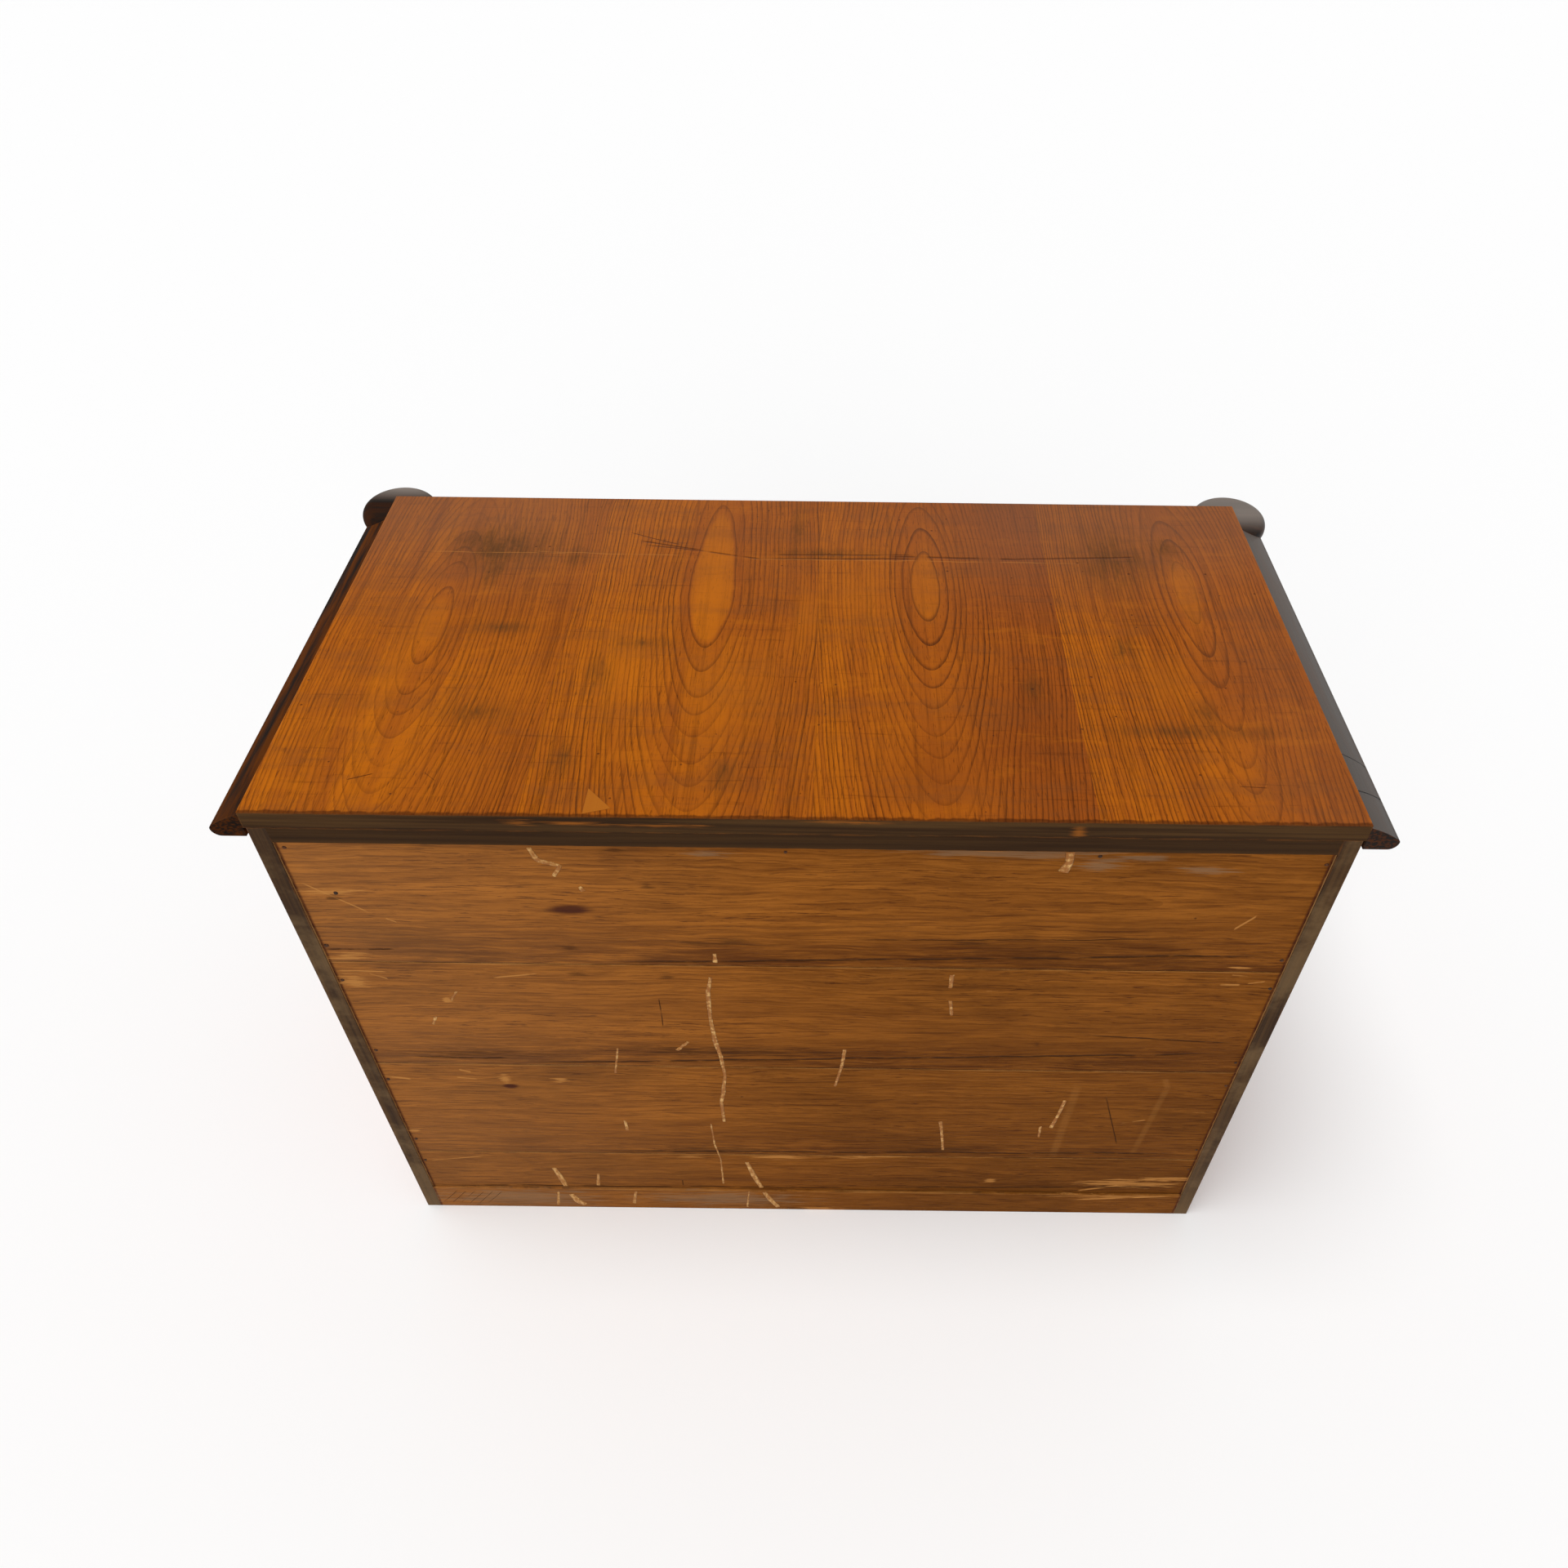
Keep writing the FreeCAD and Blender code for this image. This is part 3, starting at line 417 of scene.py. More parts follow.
def make_hairline():
    """A thin crack that wanders from one point to another along the grain."""
    inputs = ["Grain", "From Along", "To Along", "From Across", "To Across", "Width", "Wander", "Seed"]
    group, given, put = new_group("hairline", inputs, ["Mask"])
    axes = split(given["Grain"])
    run = minus(given["To Along"], given["From Along"])
    share = divide(minus(axes[0], given["From Along"]), run)
    rise = minus(given["To Across"], given["From Across"])
    middle = linear(share, rise, given["From Across"])
    sway = minus(clouds(given["Grain"], (9, 0, 0), given["Seed"], 5.0, 0.6), 0.5)
    middle = linear(sway, given["Wander"], middle)
    gap = distance(minus(axes[1], middle))
    ends = times(ease(share, 0.0, 0.12), ease(share, 1.0, 0.88))
    broken = cloud_mask(given["Grain"], (25, 0, 0), given["Seed"], 0.34, 0.52, 3.0)
    line = ease(divide(gap, given["Width"]), 1.0, 0.25)
    link(times(line, ends, broken), put["Mask"])
    return group


specks = make_specks()
blotch = make_blotch()
hairline = make_hairline()


MM_PER_METRE = 1000


def metres(millimetres):
    return [size / MM_PER_METRE for size in millimetres]


def mark(colour, marked_grain, marks, second, strength, ragged, soft):
    """Lay blotches over a colour, each as (along, across, half length, half height) in millimetres."""
    for number, (along, across, length, height) in enumerate(map(metres, marks)):
        spot = use_group(blotch, Grain=marked_grain, Along=along, Across=across, Length=length, Height=height,
                         Ragged=ragged, Soft=soft, Seed=7.0 * number + along)["Mask"]
        colour = tint(colour, second, spot, strength)
    return colour


def cracks(marked_grain, lines, wander, seed):
    """A mask of hairlines as (from along, from across, to along, to across, half width) in millimetres."""
    mask = 0.0
    for number, (from_along, from_across, to_along, to_across, width) in enumerate(map(metres, lines)):
        crack = use_group(hairline, Grain=marked_grain, From_Along=from_along, To_Along=to_along,
                          From_Across=from_across, To_Across=to_across, Width=width, Wander=wander,
                          Seed=seed + number)["Mask"]
        mask = larger(mask, crack)
    return mask


END_SHADOW_SPAN = (0.5335, 0.5372)
BACK_PALE = srgb(168, 101, 34)
BACK_DEEP = srgb(112, 61, 15)
BACK_DIRT_AND_SHADE = srgb(54, 30, 12)
BACK_FLECK = srgb(76, 36, 10)
BACK_SCRAPE = srgb(190, 130, 66)
BACK_GREY = srgb(132, 106, 80)
KNOT_HEART_AND_SHADE = srgb(58, 24, 20)


def back_pine(node, seed, dim, low_darkening, core, knots=(), shakes=(), scrapes=(), dents=(), smears=(), splits=(),
              scratches=(), wipes=()):
    """Bare pine of one board; its marks in millimetres at (x, z), or (z, x) for upright splits and wipes."""
    material, shader, place = new_finish(f"{node}_pine", Specular_IOR_Level=0.03)
    along_board, upright = grain(place, "xzy"), grain(place, "zxy")
    low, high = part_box(node)
    along, height, depth = split(along_board)
    sway = minus(clouds(along_board, (5, 11, 0), seed + 6.0, 4.0), 0.5)
    wavy = join(along, linear(sway, 0.022, height), depth)
    colour, relief = pine_colour(wavy, seed, BACK_PALE, BACK_DEEP, metres(core))
    bands = cloud_mask(wavy, (1.8, 16, 4), seed + 3.1, 0.45, 0.75, 4.0)
    mottled = cloud_mask(wavy, (16, 46, 20), seed + 8.3, 0.42, 0.68, 6.0, 0.7)
    threads = cloud_mask(wavy, (13, 560, 30), seed + 4.4, 0.55, 0.64, 3.0)
    flecks = cloud_mask(wavy, (38, 520, 20), seed + 7.7, 0.57, 0.64, 4.0, 0.6)
    gathered = cloud_mask(along_board, (3, 22, 4), seed + 2.2, 0.36, 0.6, 3.0)
    # Darker, streaked wood along the lower edge of each board.
    low_band = ease(height, low.z + 0.085, low.z + 0.012)
    streaked = cloud_mask(wavy, (7, 80, 9), seed + 9.0, 0.34, 0.64, 6.0, 0.72)
    # Painted shadow: a thin dark line along the lower edge of each board, at its seam.
    seam = ease(height, low.z + 0.002, low.z + 0.0006)
    # Painted highlight and wear: a pale line along the top arris of each board.
    worn_and_highlit_lip = ease(height, high.z - 0.0026, high.z - 0.0012)
    patches = clouds(along_board, (4, 7, 4), seed + 1.3, 5.0, 0.6)
    colour = coat(colour, (BACK_DEEP, bands, 0.3), (BACK_DEEP, mottled, 0.34), (BACK_FLECK, threads, 0.5),
                  (BACK_FLECK, flecks, linear(gathered, 0.6, 0.15)), (BACK_FLECK, low_band, streaked, low_darkening),
                  (BACK_DIRT_AND_SHADE, seam, 0.6), (BACK_SCRAPE, worn_and_highlit_lip, streaked, 0.5),
                  (BACK_DIRT_AND_SHADE, ease(patches, 0.42, 0.75), 0.35), (BACK_GREY, ease(along, -0.05, 0.5), 0.16))
    # Painted shade: each board is dimmed by its own amount, lighter towards +x and darkest near x = -0.12 m,
    # with painted light lifting its +x end.
    shaded = linear(along, (1.27 - dim) * dim, 0.95 * dim)
    middle = ease(distance(plus(along, 0.12)), 0.4, 0.0)
    painted_lift = times(ease(along, 0.36, 0.53), max(dim - 0.86, 0.0))
    shaded = times(shaded, linear(middle, -0.12, 1.0), plus(painted_lift, 1.0))
    colour = tint(colour, join(shaded, shaded, shaded), 1.0, blend="MULTIPLY")
    scuffed = cloud_mask(along_board, (10, 70, 30), seed + 5.9, 0.66, 0.74, 6.0, 0.7)
    # Painted shadow: the ends of each board darken where they meet the rebates in the sides.
    ends = ease(distance(along), *END_SHADOW_SPAN)
    worn = use_group(edge_wear, Grain=along_board, Reach=0.003, Seed=seed)["Mask"]
    colour = coat(colour, (BACK_SCRAPE, scuffed, 0.4), (KNOT_HEART_AND_SHADE, ends, 0.85), (BACK_SCRAPE, worn, 0.5))
    colour = mark(colour, along_board, smears, BACK_GREY, 0.5, ragged=4.0, soft=0.7)
    colour = mark(colour, along_board, scrapes, BACK_SCRAPE, 0.65, ragged=5.5, soft=0.6)
    colour = coat(colour, (BACK_SCRAPE, cracks(along_board, scratches, 0.004, seed + 3.0), 0.7),
                  (BACK_SCRAPE, cracks(upright, wipes, 0.006, seed + 5.0), 0.12))
    colour = mark(colour, along_board, dents, BACK_DIRT_AND_SHADE, 0.55, ragged=5.5, soft=0.9)
    colour = mark(colour, along_board, knots, KNOT_HEART_AND_SHADE, 0.85, ragged=0.8, soft=0.6)
    holes = times(use_group(specks, Grain=place, Per_Metre=16, Size=0.028, Share=0.4)["Mask"], 0.8)
    dark = larger(holes, cracks(along_board, shakes, 0.012, seed))
    dark = larger(dark, cracks(upright, splits, 0.004, seed))
    colour = tint(colour, BACK_DIRT_AND_SHADE, dark, 0.85)
    surface(shader, colour, linear(patches, 0.25, 0.55), minus(relief, times(dark, 2.0)), depth=0.0006)
    dress(material, node)


back_pine("back_board_1", 2.0, 1.0, 0.75, (300, 700),
          knots=[(253, 679, 31, 11)],
          shakes=[(240, 586, -535, 614, 2.4), (-50, 632, -400, 640, 1), (537, 605, 456, 607, 1.6)],
          scrapes=[(515, 592, 25, 8), (501, 704.5, 36, 5), (-489, 590, 12, 3)],
          dents=[(194, 775, 12, 7), (166, 719, 9, 6), (447, 783, 12, 5), (262, 611, 12, 7), (90, 625, 50, 10),
                 (-180, 630, 22, 6), (502, 694, 7, 5)],
          smears=[(-200, 777, 120, 10), (-300, 760, 30, 10), (-346, 772, 30, 6), (-413, 753, 35, 7),
                  (100, 770, 25, 6)],
          scratches=[(530, 719, 469, 669, 1.8), (455, 661, 444, 654, 1.4), (-464, 658, -484, 682, 3)])
back_pine("back_board_2", 9.0, 0.92, 0.72, (340, 456),
          shakes=[(370, 378, -535, 418, 2.6), (-320, 455, -520, 440, 1.4), (488, 389.7, 366, 390, 2.4)],
          scrapes=[(521, 546, 18, 14), (420, 512, 5, 6)],
          dents=[(159, 561, 10, 6), (260, 565, 16, 6), (-281, 433, 5, 5), (100, 410, 160, 12),
                 (420, 400, 100, 10)],
          splits=[(520, 172, 460, 172, 0.7)],
          scratches=[(534, 566, 477, 565, 1.6), (499, 561, 479, 551, 1.8), (359, 555.3, 306, 564.4, 1.8),
                     (-482, 577, -502, 575, 1.4), (-472, 558, -497, 558.5, 2.4),
                     (-504, 561, -524, 565.5, 1.6)])
back_pine("back_board_3", 17.0, 0.86, 0.5, (-120, 262),
          knots=[(379, 324.3, 13, 7)],
          shakes=[(310, 160, -535, 171, 2.6)],
          scrapes=[(312, 339.5, 11, 7), (529, 210, 11, 5), (383, 341, 7, 10)],
          dents=[(120, 166, 90, 12), (-200, 175, 60, 8)],
          splits=[(318, -384, 190, -422, 0.9)],
          scratches=[(538, 345, 502, 338, 2.8), (438, 362, 423, 356, 2.2), (445, 344, 418, 340, 1.6),
                     (-416, 249, -448, 259, 1.8)],
          wipes=[(360, -452.5, 335, -460, 6), (345, -460, 160, -446, 6), (355, -345.3, 150, -338, 8)])
back_pine("back_board_4", 25.0, 0.81, 0.25, (100, 100),
          shakes=[(530, 57.5, -100, 62, 2), (-100, 64, -535, 76, 2)],
          scrapes=[(-460, 84, 70, 12), (-510, 98, 35, 6), (-80, 152.5, 60, 4), (40, 149, 40, 6),
                   (160, 148, 20, 4), (-260, 88, 10, 8)],
          splits=[(80, 178, 64, 178, 0.9)],
          scratches=[(526, 128.6, 448, 142.4, 1.4), (-386, 60.4, -446, 79, 3)])
back_pine("base_back_rail", 33.0, 0.84, 0.1, (200, 20),
          scrapes=[(-440, 50, 70, 5), (-20, 4, 30, 6)],
          shakes=[(533 - 13 * saw, 8, 505 - 13 * saw, 46, 0.7) for saw in range(6)],
          smears=[(420, 28, 140, 30), (120, 30, 130, 24)],
          scratches=[(-380, 39.3, -526, 53.5, 2.8)])


# Seam shade: a dark strip laid in the gap between each pair of back boards, as painted shade, which also
# keeps out light.
# It sits a little below the face of the boards and reads as the dark line of each seam.
def mottled_finish(name, first, second, noise, rough, **settings):
    """Two colours mottled into each other; rough gives the slope and the start of the roughness."""
    material, shader, place = new_finish(name, **settings)
    mottled = clouds(place, *noise)
    colour = tint(first, second, ease(mottled, 0.4, 0.65))
    surface(shader, colour, linear(mottled, *rough), mottled, depth=0.0004)
    return material


def new_object(name, data):
    made = bpy.data.objects.new(name, data)
    bpy.context.scene.collection.objects.link(made)
    return made


def mesh_piece(name, shape, material):
    """Turn a finished shape into an object with one material."""
    piece = new_object(name, bpy.data.meshes.new(name))
    shape.to_mesh(piece.data)
    shape.free()
    piece.data.materials.append(material)
    return piece


SEAM_BITE = 0.0003
SEAM_INSET = 0.0018
SEAM_SHORT = 0.004
UPWARDS = ("base_back_rail", "back_board_4", "back_board_3", "back_board_2", "back_board_1", "top_back_rail")
seam_shade_mesh = bmesh.new()
board_low, board_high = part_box("back_board_1")
seam_shade_length = board_high.x - board_low.x - SEAM_SHORT
seam_shade_depth = board_high.y - board_low.y - 2 * SEAM_INSET
seam_shade_middle = (board_low.y + board_high.y) / 2
for below, above in zip(UPWARDS, UPWARDS[1:]):
    bottom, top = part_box(below)[1].z - SEAM_BITE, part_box(above)[0].z + SEAM_BITE
    strip = bmesh.ops.create_cube(seam_shade_mesh, size=1.0)["verts"]
    bmesh.ops.scale(seam_shade_mesh, vec=(seam_shade_length, seam_shade_depth, top - bottom), verts=strip)
    bmesh.ops.translate(seam_shade_mesh, vec=(0.0, seam_shade_middle, (bottom + top) / 2), verts=strip)
seam_shade_finish = mottled_finish("seam_shade", BACK_DIRT_AND_SHADE, KNOT_HEART_AND_SHADE, ((60, 60, 400), 5.0, 5.0, 0.65), (0.2, 0.7),
                            Specular_IOR_Level=0.03)
seam_shade = mesh_piece("seam_shade", seam_shade_mesh, seam_shade_finish)
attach(seam_shade, "case")


# Nails in the back: hand-cut iron nails, one or two through each end of a board into the rebate.
# Their hammered heads stand a little proud of the wood and have rusted dark.
def new_shaper(name, sockets):
    """A geometry tree with one shape in, one shape out and named inputs."""
    tree = Bench.tree = bpy.data.node_groups.new(name, "GeometryNodeTree")
    tree.interface.new_socket("Shape", in_out="INPUT", socket_type="NodeSocketGeometry")
    tree.interface.new_socket("Shape", in_out="OUTPUT", socket_type="NodeSocketGeometry")
    for label, kind in sockets:
        tree.interface.new_socket(label, in_out="INPUT", socket_type=f"NodeSocket{kind}")
    return tree, add_node("NodeGroupInput"), tree.nodes.new("NodeGroupOutput").inputs


def shape_piece(name, start, tree, body, slot, **settings):
    """Run a geometry tree on a start shape and keep the result as a plain mesh that rides on a body."""
    holder = new_object(f"{name}_start", start)
    modifier = holder.modifiers.new(name, "NODES")
    modifier.node_group = tree
    sockets = {item.name: item.identifier for item in tree.interface.items_tree if item.in_out == "INPUT"}
    for label, value in settings.items():
        modifier[sockets[label.replace("_", " ")]] = value
    made = bpy.data.meshes.new_from_object(holder.evaluated_get(bpy.context.evaluated_depsgraph_get()))
    bpy.data.objects.remove(holder)
    made.name = name
    piece = new_object(name, made)
    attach(piece, body)


def between(lowest, highest, seed):
    """A random value for each point."""
    return add_node("FunctionNodeRandomValue", {2: lowest, 3: highest, "Seed": seed}, data_type="FLOAT")[1]


def end_shape(shape, material, put):
    """Make instances real, give the shape its material and send it out."""
    real = add_node("GeometryNodeRealizeInstances", {0: shape})[0]
    link(add_node("GeometryNodeSetMaterial", {"Geometry": real, "Material": material})[0], put["Shape"])


def set_heads(given, put, head, most_turn, **options):
    """Stand a head on every point, facing out of the wood and turned at random."""
    facing = join(given["Facing"], 0.0, 0.0)
    turned = add_node("GeometryNodeTransform", {"Geometry": head, "Rotation": facing})[0]
    spin = join(0.0, between(0.0, most_turn, given["Seed"]), 0.0)
    spread = {"Points": given["Shape"], "Instance": turned, "Rotation": spin, **options}
    end_shape(add_node("GeometryNodeInstanceOnPoints", spread)[0], given["Metal"], put)


HEAD_SOCKETS = [("Head", "Float"), ("Facing", "Float"), ("Seed", "Int"), ("Metal", "Material")]
WHOLE_TURN = 6.28


def make_nail_heads():
    """Hammered heads with as many corners as asked for, each a little larger or smaller."""
    tree, given, put = new_shaper("nail_heads", [*HEAD_SOCKETS, ("Corners", "Int")])
    sizes = {"Vertices": given["Corners"], "Radius Top": times(given["Head"], 0.55),
             "Radius Bottom": given["Head"], "Depth": times(given["Head"], 0.5)}
    head = add_node("GeometryNodeMeshCone", sizes)["Mesh"]
    set_heads(given, put, head, WHOLE_TURN, Scale=between(0.75, 1.2, given["Seed"]))
    return tree


BOARD_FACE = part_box("back_board_1")[1].y
# Nails as (x, z) places in millimetres.
NAIL_PLACES = [(529.5, 772.5), (532.5, 612), (-533, 765), (-531.5, 605), (532.5, 548), (531, 404),
               (-532.5, 552), (-531.5, 398), (532.5, 338), (532, 188), (-532.5, 345), (-531.5, 182),
               (532.5, 130), (-532.5, 128), (497, 702), (-300, 773.5), (20, 774.5)]
SUNK = 0.0001
FACING_BACK = -math.pi / 2


def spots(name, places):
    """A mesh of loose points for a geometry tree to set things on."""
    mesh = bpy.data.meshes.new(name)
    mesh.from_pydata(places, [], [])
    return mesh


nail_heads = make_nail_heads()
rusty_iron = mottled_finish("nail_rust", srgb(46, 32, 22), srgb(92, 52, 26), ((400, 400, 400), 3.0, 4.0),
                            (0.3, 0.5), Metallic=0.15, Specular_IOR_Level=0.2)
nail_spots = spots("nail_spots", [(x, BOARD_FACE - SUNK, z) for x, z in map(metres, NAIL_PLACES)])
shape_piece("back_nails", nail_spots, nail_heads, "case", "key_iron", Head=0.0025, Corners=7,
            Facing=FACING_BACK, Seed=5, Metal=rusty_iron)


# Paint runs: thin cream house paint that dripped down the back and dried, cracked and partly flaked off.
# Each run follows its own wandering path and lies a fraction of a millimetre proud of the boards.
PATH_STEP = 0.003
TEAR_SCALE = 260.0


def make_paint_runs():
    sockets = [("Face", "Float"), ("Flatten", "Float"), ("Ragged", "Float"), ("Paint", "Material")]
    tree, given, put = new_shaper("paint_runs", sockets)
    steps = {"Curve": given["Shape"], "Length": PATH_STEP}
    path = add_node("GeometryNodeResampleCurve", steps, mode="LENGTH")
    round_line = add_node("GeometryNodeCurvePrimitiveCircle", {"Resolution": 8, "Radius": 1.0})["Curve"]
    half_width = add_node("GeometryNodeInputRadius")[0]
    tubes = {"Curve": path[0], "Profile Curve": round_line, "Scale": half_width, "Fill Caps": True}
    tube = add_node("GeometryNodeCurveToMesh", tubes)[0]
    spot = add_node("GeometryNodeInputPosition")[0]
    torn = add_node("ShaderNodeTexNoise", {"Vector": spot, "Scale": TEAR_SCALE, "Detail": 3.0})["Color"]
    shift = add_node("ShaderNodeVectorMath", {0: torn, 1: (0.5, 0.5, 0.5)}, operation="SUBTRACT")[0]
    shift = add_node("ShaderNodeVectorMath", {0: shift, "Scale": given["Ragged"]}, operation="SCALE")[0]
    moved = add_node("GeometryNodeSetPosition", {"Geometry": tube, "Offset": shift})[0]
    x, y, z = split(spot)
    proud = minus(y, given["Face"])
    pressed = linear(proud, given["Flatten"], given["Face"])
    laid = add_node("GeometryNodeSetPosition", {"Geometry": moved, "Position": join(x, pressed, z)})[0]
    end_shape(laid, given["Paint"], put)
    return tree


PAINT_CREAM = srgb(206, 160, 96)
PAINT_SOILED = srgb(168, 114, 54)
BARED_PINE = srgb(146, 88, 34)
# Each run as its half width and its path of (x, z) places, in millimetres.
PAINT_RUNS = [
    (2.8, [(281, 777), (275, 758), (253, 749), (262, 733)]),
    (2.5, [(102, 605), (102, 589)]),
    (2.5, [(109, 561), (114, 530), (114, 480), (111, 430), (106, 399), (103, 355),
           (107, 318), (111, 292), (110, 242)]),
    (1.2, [(128, 236), (126, 180), (120, 142), (120, 71)]),
    (2, [(-47, 417), (-44, 380), (-36, 333)]),
    (2.5, [(-166, 571), (-166, 546)]),
    (2, [(-168, 521), (-172, 492)]),
    (4.8, [(-269, 780), (-270, 764), (-266, 749)]),
    (2.4, [(-334, 305), (-330, 267), (-325, 236)]),
    (1.7, [(-311, 239), (-312, 211)]),
    (2.2, [(-177, 249), (-182, 211), (-186, 174)]),
    (3.6, [(84, 133), (75, 92), (66, 60)]),
    (3.6, [(356, 111), (350, 80), (347, 58)]),
    (2.2, [(296, 96), (300, 61)]),
    (2, [(242, 242), (241, 217)]),
    (1.4, [(232, 414), (241, 358)]),
    (2.2, [(144, 430), (159, 411)]),
    (1.7, [(406, 528), (416, 510)]),
    (2, [(441, 477), (448, 461)]),
    (2.6, [(237, 717), (234, 710)]),
]
RAIL_RUNS = [
    (3.8, [(62, 52), (54, 30), (43, 7)]),
    (4.6, [(341, 39), (334, 17), (325, 8)]),
    (2, [(359, 46), (365, 6)]),
    (2.2, [(247, 49), (253, 14)]),
    (1.4, [(84, 53), (88, 6)]),
]


def flaked_paint():
    material, shader, place = new_finish("cream_paint", Specular_IOR_Level=0.2)
    flaked = clouds(place, (260, 60, 90), 2.0, 5.0, 0.65)
    colour = tint(PAINT_CREAM, PAINT_SOILED, ease(flaked, 0.44, 0.56))
    high = ease(split(place)[2], 0.1, 0.2)
    gone = cloud_mask(place, (130, 60, 170), 6.0, 0.42, 0.54, 5.0, 0.6)
    colour = tint(colour, BARED_PINE, gone, linear(high, 0.4, 0.5))
    surface(shader, colour, linear(flaked, 0.2, 0.55), flaked, depth=0.0003)
    return material


GOLDEN_SHARE = 0.618
paint_tree = make_paint_runs()
cream_paint = flaked_paint()
for paint_name, face, runs in (("board_paint_runs", BOARD_FACE, PAINT_RUNS),
                               ("rail_paint_runs", back_y, RAIL_RUNS)):
    paths = bpy.data.curves.new(f"{paint_name}_paths", "CURVE")
    paths.dimensions = "3D"
    for half_width, points in runs:
        path = paths.splines.new("POLY")
        path.points.add(len(points) - 1)
        for number, (x, z) in enumerate(map(metres, points)):
            path.points[number].co = (x, face, z, 1.0)
            swell = (number * GOLDEN_SHARE + x) % 1.0
            path.points[number].radius = half_width / MM_PER_METRE * (0.75 + 0.5 * swell)
    shape_piece(paint_name, paths, paint_tree, "case", "back_pine", Face=face, Flatten=0.12, Ragged=0.0022,
                Paint=cream_paint)


# Stained edges: the back edge of the top board and the rail under it, brushed with dark stain.
# The stain is worn through to orange wood in short scuffs along the arrises.
def dark_stain(name, seed, brown, scuffs=()):
    material, shader, place = new_finish(name, Specular_IOR_Level=0.03)
    along_edge = grain(place, "xzy")
    colour, relief = stain_colour(along_edge, seed, brown)
    colour = mark(colour, along_edge, scuffs, STAIN_RUBBED, 0.8, ragged=4.0, soft=1.2)
    surface(shader, colour, linear(relief, 0.2, 0.35), relief, depth=0.0004)
    return material


dress(dark_stain("top_edge_stain", 4.0, 0.95, [(282, 816.5, 22, 5), (235, 816, 45, 4), (150, 814, 60, 3),
                                               (-272, 812, 9, 10), (-50, 822, 50, 3)]), "top_board")
dress(dark_stain("back_rail_stain", 6.0, 0.45), "top_back_rail")


# Top: four leaves of crown-cut walnut veneer glued side by side, faded to amber under old shellac.
# Each leaf has a core of nested ovals near the front, arches towards the back and straight grain beside.
# A long crease crosses the front, with smudges, small pits and a let-in patch at the back edge.
VENEER_GLOW = srgb(196, 110, 16)
VENEER_DEEP = srgb(116, 54, 14)
VENEER_GLARE = srgb(116, 80, 60)
VENEER_SMOKE = srgb(78, 50, 22)
VENEER_SCRAPED = srgb(190, 122, 56)
LEAF_EDGES = (-0.556, -0.292, -0.008, 0.284, 0.556)
LEAF_SIZES = ("Core_Along", "Core_Across", "Taper_Front", "Taper_Back", "Ring_Width", "Shift", "Heart")
# Each leaf from the part's left: shading towards its left side, strength of its lines, then its sizes.
LEAVES = ((0.0, 1.0, -0.085, -0.455, 0.1, 0.08, 0.0037, 0.0009, 0.0607),
          (1.0, 1.0, -0.08, -0.139, 0.1, 0.115, 0.0039, 0.0024, 0.0614),
          (0.3, 0.95, -0.062, 0.12, 0.066, 0.125, 0.0042, 0.002, 0.0641),
          (0.45, 0.75, 0.005, 0.44, 0.11, 0.11, 0.0038, 0.0002, 0.0603))
# Marks in millimetres: blotches as (y, x, half length, half width), lines as (x, y, x, y, half width).
TOP_SMUDGES = [(-150, -20, 20, 130), (-165, 425, 65, 60), (-160, 380, 80, 110), (-140, -380, 110, 90),
               (-120, 395, 75, 30), (-135, 297, 35, 30), (10, 361, 22, 60), (162, 355, 36, 70),
               (90, 235, 45, 24), (231, 252, 45, 22), (36, 190, 18, 60), (255, 85, 40, 20),
               (110, -250, 35, 24), (180, -410, 20, 170), (150, -430, 35, 26), (-170, -450, 35, 30),
               (40, -360, 35, 30), (-210, 20, 90, 16)]
TOP_GLOWS = [(100, 465, 160, 35), (80, 210, 140, 60), (120, 80, 140, 80), (-60, -60, 120, 60),
             (100, -400, 90, 60), (-100, 120, 140, 32), (-20, 5, 100, 30)]
TOP_REDS = [(190, -235, 170, 75), (250, -540, 100, 30), (-20, 300, 200, 20), (250, -120, 100, 70),
            (-100, -370, 160, 120), (-70, 380, 150, 100)]
CREASE = [(222, -176, 140, -156, 2.4), (216, -167, 140, -154, 1.8), (238, -195, 165, -166, 1.4),
          (155, -158, 60, -136, 2.4), (85, -138, -140, -142, 2.6), (75, -147, -134, -151, 2),
          (-90, -147, -270, -143, 3), (-240, -143, -420, -152, 2.4)]
SCRATCH = [(490, -146, 300, -145, 1.2), (360, -149, 160, -143, 1.2), (100, -138, -350, -136, 1.2)]
NICKS = [(466, 268, 440, 258, 1.1), (390, 255, 375, 268, 0.8), (-440, 262, -470, 264, 0.8)]


